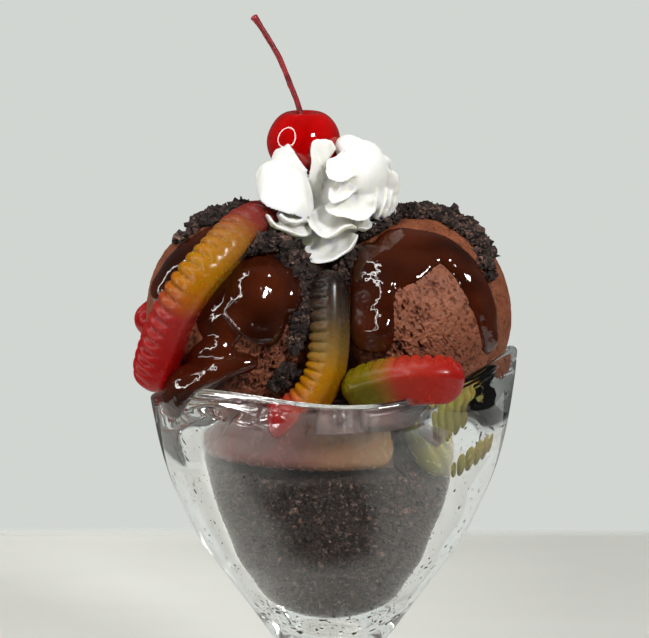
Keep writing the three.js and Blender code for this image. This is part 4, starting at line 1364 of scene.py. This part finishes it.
# %% The stem
def stem_skin(steps=70, sides=20):
    """A thin bent stem that widens at both ends."""
    offsets = np.array([
        [-0.7, 0, 6.6], [-1.8, 0, 10.6], [-3.3, 0, 14.2], [-4.7, 0, 17.9], [-6.3, 0, 21.5],
        [-8.4, 0, 25.2], [-10.7, 0, 28.9], [-12.4, 0, 31.3],
    ])
    spine = CHERRY_CENTRE + smooth_path(offsets, steps)
    share = np.linspace(0, 1, steps)
    radius = 0.68 + 0.3 * np.clip((share - 0.84) / 0.16, 0, 1) ** 1.3 + 0.2 * np.exp(-share / 0.03)
    radius *= np.sqrt(1 - np.clip((share - 0.985) / 0.02, 0, 0.8))
    along = unit(np.gradient(spine, axis=0))
    across = unit(np.cross(along, [0.0, 1.0, 0.0]))
    up = np.cross(across, along)
    turn = 2 * math.pi * np.arange(sides) / sides
    rings = spine[:, None] + radius[:, None, None] * (
        across[:, None] * np.cos(turn)[None, :, None] + up[:, None] * np.sin(turn)[None, :, None]
    )
    rings += 0.05 * lumps(rings, 1.2, 93)[..., None]
    return skin(rings)


print("the stem stands on a cherry of radius", CHERRY_RADIUS, "mm")

# %% The stem's finish
stem_finish = Finish(
    "cherry_stem", Roughness=0.32, Specular_IOR_Level=0.5, Coat_Weight=0.3, Coat_Roughness=0.2
)
stem_mottle = stem_finish.noise(2.5, detail=4.0)
stem_finish.color(
    stem_finish.ramp(stem_mottle, [(0.35, (0.12, 0.01, 0.012)), (0.65, (0.28, 0.02, 0.025))])
)
stem_finish.bump(stem_finish.noise(0.5, detail=3.0), 0.08, strength=0.6)
stem = add_object("cherry_stem_piece", *stem_skin())
dress(stem, stem_finish, "cherry_stem", "cherry_stem")

# %% [markdown]
# ## The stage
#
# The sundae stands on a plain pale table in a bright, soft studio. The table is a
# square whose far edge gives the soft line behind the glass. Past it the air is
# the world's colour. Glossy food looks best in a room that is pale to the eye but
# dark to reflections, with a few bright lights in it, so the world is made dimmer
# for reflected rays and for soft light than it is for the camera. The wall behind
# the sundae is bright and the room in front of it is dim, so that the glass shows
# what is in it and not a veil of reflections. For the same reason the near part of
# the table is dark to every ray that has touched glass or a glossy skin. The inner
# wall would otherwise mirror the bright table over the crumbs. That isn't how a real
# table behaves: it is a lighting trick, as a dark card is on a set.

# %% Table
TABLE_HALF = 0.285
table_mesh = bpy.data.meshes.new("table")
near, far = -TABLE_HALF, TABLE_HALF
corners = [(near, near, 0), (far, near, 0), (far, far, 0), (near, far, 0)]
table_mesh.from_pydata(corners, [], [(0, 1, 2, 3)])
table = bpy.data.objects.new("table", table_mesh)
bpy.context.scene.collection.objects.link(table)
table_finish = Finish("pale_table", Roughness=0.6, Specular_IOR_Level=0.2)
table_grain = table_finish.noise(60, detail=3.0, space=table_finish.stretched((0, 0, 0), (0.25, 1.0, 1.0)))
table_tone = table_finish.ramp(table_grain, [(0.3, (0.70, 0.70, 0.655)), (0.7, (0.76, 0.76, 0.715))])
print("table is", 2 * TABLE_HALF, "m square")

# %% How the table looks to reflected rays, and its painted shade to the right
not_direct = table_finish.tree.nodes.new("ShaderNodeLightPath").outputs["Is Glossy Ray"]
forwards = table_finish.math("MULTIPLY", table_finish.separated("Y"), -8.0)
nearness = table_finish.ramp(forwards, [(0.42, (0.2, 0.2, 0.2)), (0.62, (0.93, 0.93, 0.93))])
# The table's colour is painted darker towards the right for every ray: painted shade of light that falls
# off to that side.
sideways = table_finish.math("ADD", table_finish.math("MULTIPLY", table_finish.separated("X"), 5.0), 0.5)
painted_falloff_shade = table_finish.ramp(sideways, [(0.1, (1.0, 1.0, 1.0)), (0.9, (0.74, 0.74, 0.74))])
table_tone = table_finish.mix(1.0, table_tone, painted_falloff_shade, "MULTIPLY")
middle = table_finish.ramp(sideways, [(0.74, (1, 1, 1)), (0.86, (0.25, 0.25, 0.25))])
nearness = table_finish.math("MULTIPLY", nearness, middle)
darkness = table_finish.math("MULTIPLY", not_direct, nearness)
table_finish.color(table_finish.mix(darkness, table_tone, (0.0, 0.0, 0.0)))
backwards = table_finish.math("MULTIPLY", table_finish.separated("Y"), 1 / TABLE_HALF)
far_fade = table_finish.ramp(backwards, [(0.96, (1, 1, 1)), (1.0, (0, 0, 0))])
table_finish.link(far_fade, table_finish.shader.inputs["Alpha"])
table_mesh.materials.append(table_finish.material)
print("nodes in the table's finish:", len(table_finish.tree.nodes))

# %% World
PALE_AIR = (0.645, 0.672, 0.64)
world = bpy.data.worlds.new("studio")
bpy.context.scene.world = world
world.use_nodes = True
air = world.node_tree
background = air.nodes["Background"]
background.inputs["Color"].default_value = (*PALE_AIR, 1)


def air_math(operation, first, second):
    """A math node of the world."""
    return math_node(air, operation, first, second)


GLOSSY_SHARE, DIFFUSE_SHARE, FRONT_SHARE = 0.09, 0.34, 0.15
# Reflected rays and soft light are dimmed. Rays through glass count as glossy too, so
# they are taken out, and only the front of the room is dimmed for them.
rays = air.nodes.new("ShaderNodeLightPath").outputs
way = air.nodes.new("ShaderNodeSeparateXYZ")
air.links.new(air.nodes.new("ShaderNodeTexCoord").outputs["Generated"], way.inputs[0])
room = air.nodes.new("ShaderNodeMapRange")
room.interpolation_type = "SMOOTHSTEP"
for socket, value in (("From Min", -1.0), ("From Max", -0.1), ("To Min", FRONT_SHARE), ("To Max", 1.0)):
    room.inputs[socket].default_value = value
air.links.new(way.outputs["Y"], room.inputs["Value"])
behind_or_seen = air_math("MAXIMUM", room.outputs["Result"], rays["Is Camera Ray"])
through = air_math("SUBTRACT", 1.0, rays["Is Transmission Ray"])
mirrored = air_math("MULTIPLY", rays["Is Glossy Ray"], through)
dim_glossy = air_math("MULTIPLY", mirrored, 1 - GLOSSY_SHARE)
soft = air_math("MULTIPLY", rays["Is Diffuse Ray"], DIFFUSE_SHARE)
sharp = air_math("SUBTRACT", air_math("SUBTRACT", 1.0, dim_glossy), rays["Is Diffuse Ray"])
strength = air_math("ADD", soft, air_math("MULTIPLY", sharp, behind_or_seen))
air.links.new(strength, background.inputs["Strength"])
print("nodes in the world:", len(air.nodes))

# %% Lights
def aimed(light, place, target=(0, 0, 0.14)):
    """Puts an object at a place in metres, with its -Z looking at a target."""
    bpy.context.scene.collection.objects.link(light)
    away = np.array(place, float) - np.array(target, float)
    flat = math.hypot(away[0], away[1])
    light.location = place
    light.rotation_euler = (math.atan2(flat, away[2]), 0, math.atan2(away[1], away[0]) + math.pi / 2)
    return light


def softbox(name, place, size, watts):
    """A square area light; metres and watts."""
    data = bpy.data.lights.new(name, "AREA")
    data.shape = "RECTANGLE"
    data.size, data.size_y = size
    data.energy = watts
    return aimed(bpy.data.objects.new(name, data), place)


softbox("key", (0.33, -0.50, 0.56), (0.11, 0.11), 4.0)
for light in (
    softbox("top", (-0.15, -0.1, 0.85), (0.35, 0.35), 2.6),
    softbox("rim", (0.55, 0.35, 0.45), (0.15, 0.3), 1.6),
):
    light.visible_glossy = False


print("lamps:", len(bpy.data.lights))

# %% [markdown]
# A ring light stands at the left. It gives the loop-shaped glints on the cherry and
# the sauce. It is a thin glowing hoop that the camera does not see.

# %% Ring light
HOOP_RADIUS, HOOP_THICKNESS = 0.27, 0.016
HOOP_GLOW = 14
bpy.ops.mesh.primitive_torus_add(
    major_radius=HOOP_RADIUS, minor_radius=HOOP_THICKNESS, major_segments=48, minor_segments=10
)
hoop = bpy.context.object
hoop.name = "ring_light"
for holder in list(hoop.users_collection):
    holder.objects.unlink(hoop)
aimed(hoop, (-0.40, -0.22, 0.34))
glow = bpy.data.materials.new("ring_glow")
glow.use_nodes = True
glow_shader = glow.node_tree.nodes["Principled BSDF"]
glow_shader.inputs["Emission Color"].default_value = (1, 0.98, 0.95, 1)
glow_shader.inputs["Emission Strength"].default_value = HOOP_GLOW
hoop.data.materials.append(glow)
hoop.visible_camera = False
hoop.visible_transmission = False
print("ring light is", 2 * HOOP_RADIUS, "m across")

# %% [markdown]
# ## The camera
#
# The camera looks slightly down, from 12 degrees above level. It is far enough
# away for the small object to keep its true proportions.

# %% Camera
TARGET = np.array([-0.0016, 0.0, 0.1348])
SENSOR_WIDTH = 36.0
PICTURE_WIDTH = 649
camera_data = bpy.data.cameras.new("camera")
camera_data.sensor_width = SENSOR_WIDTH
camera_data.sensor_fit = "HORIZONTAL"
camera_data.lens = SENSOR_WIDTH * DISTANCE * PIXELS_PER_METRE / PICTURE_WIDTH
camera = bpy.data.objects.new("camera", camera_data)
bpy.context.scene.collection.objects.link(camera)
forward = np.array([0, math.cos(ELEVATION), -math.sin(ELEVATION)])
camera.location = TARGET - forward * DISTANCE
camera.rotation_euler = (math.pi / 2 - ELEVATION, 0, 0)
bpy.context.scene.camera = camera
bpy.context.scene.view_settings.view_transform = "Standard"

# Light crosses many faces of thick glass, so its paths need more turns than usual.
paths = bpy.context.scene.cycles
paths.max_bounces, paths.transmission_bounces, paths.glossy_bounces = 24, 20, 16
print("lens:", round(camera_data.lens, 1), "mm")
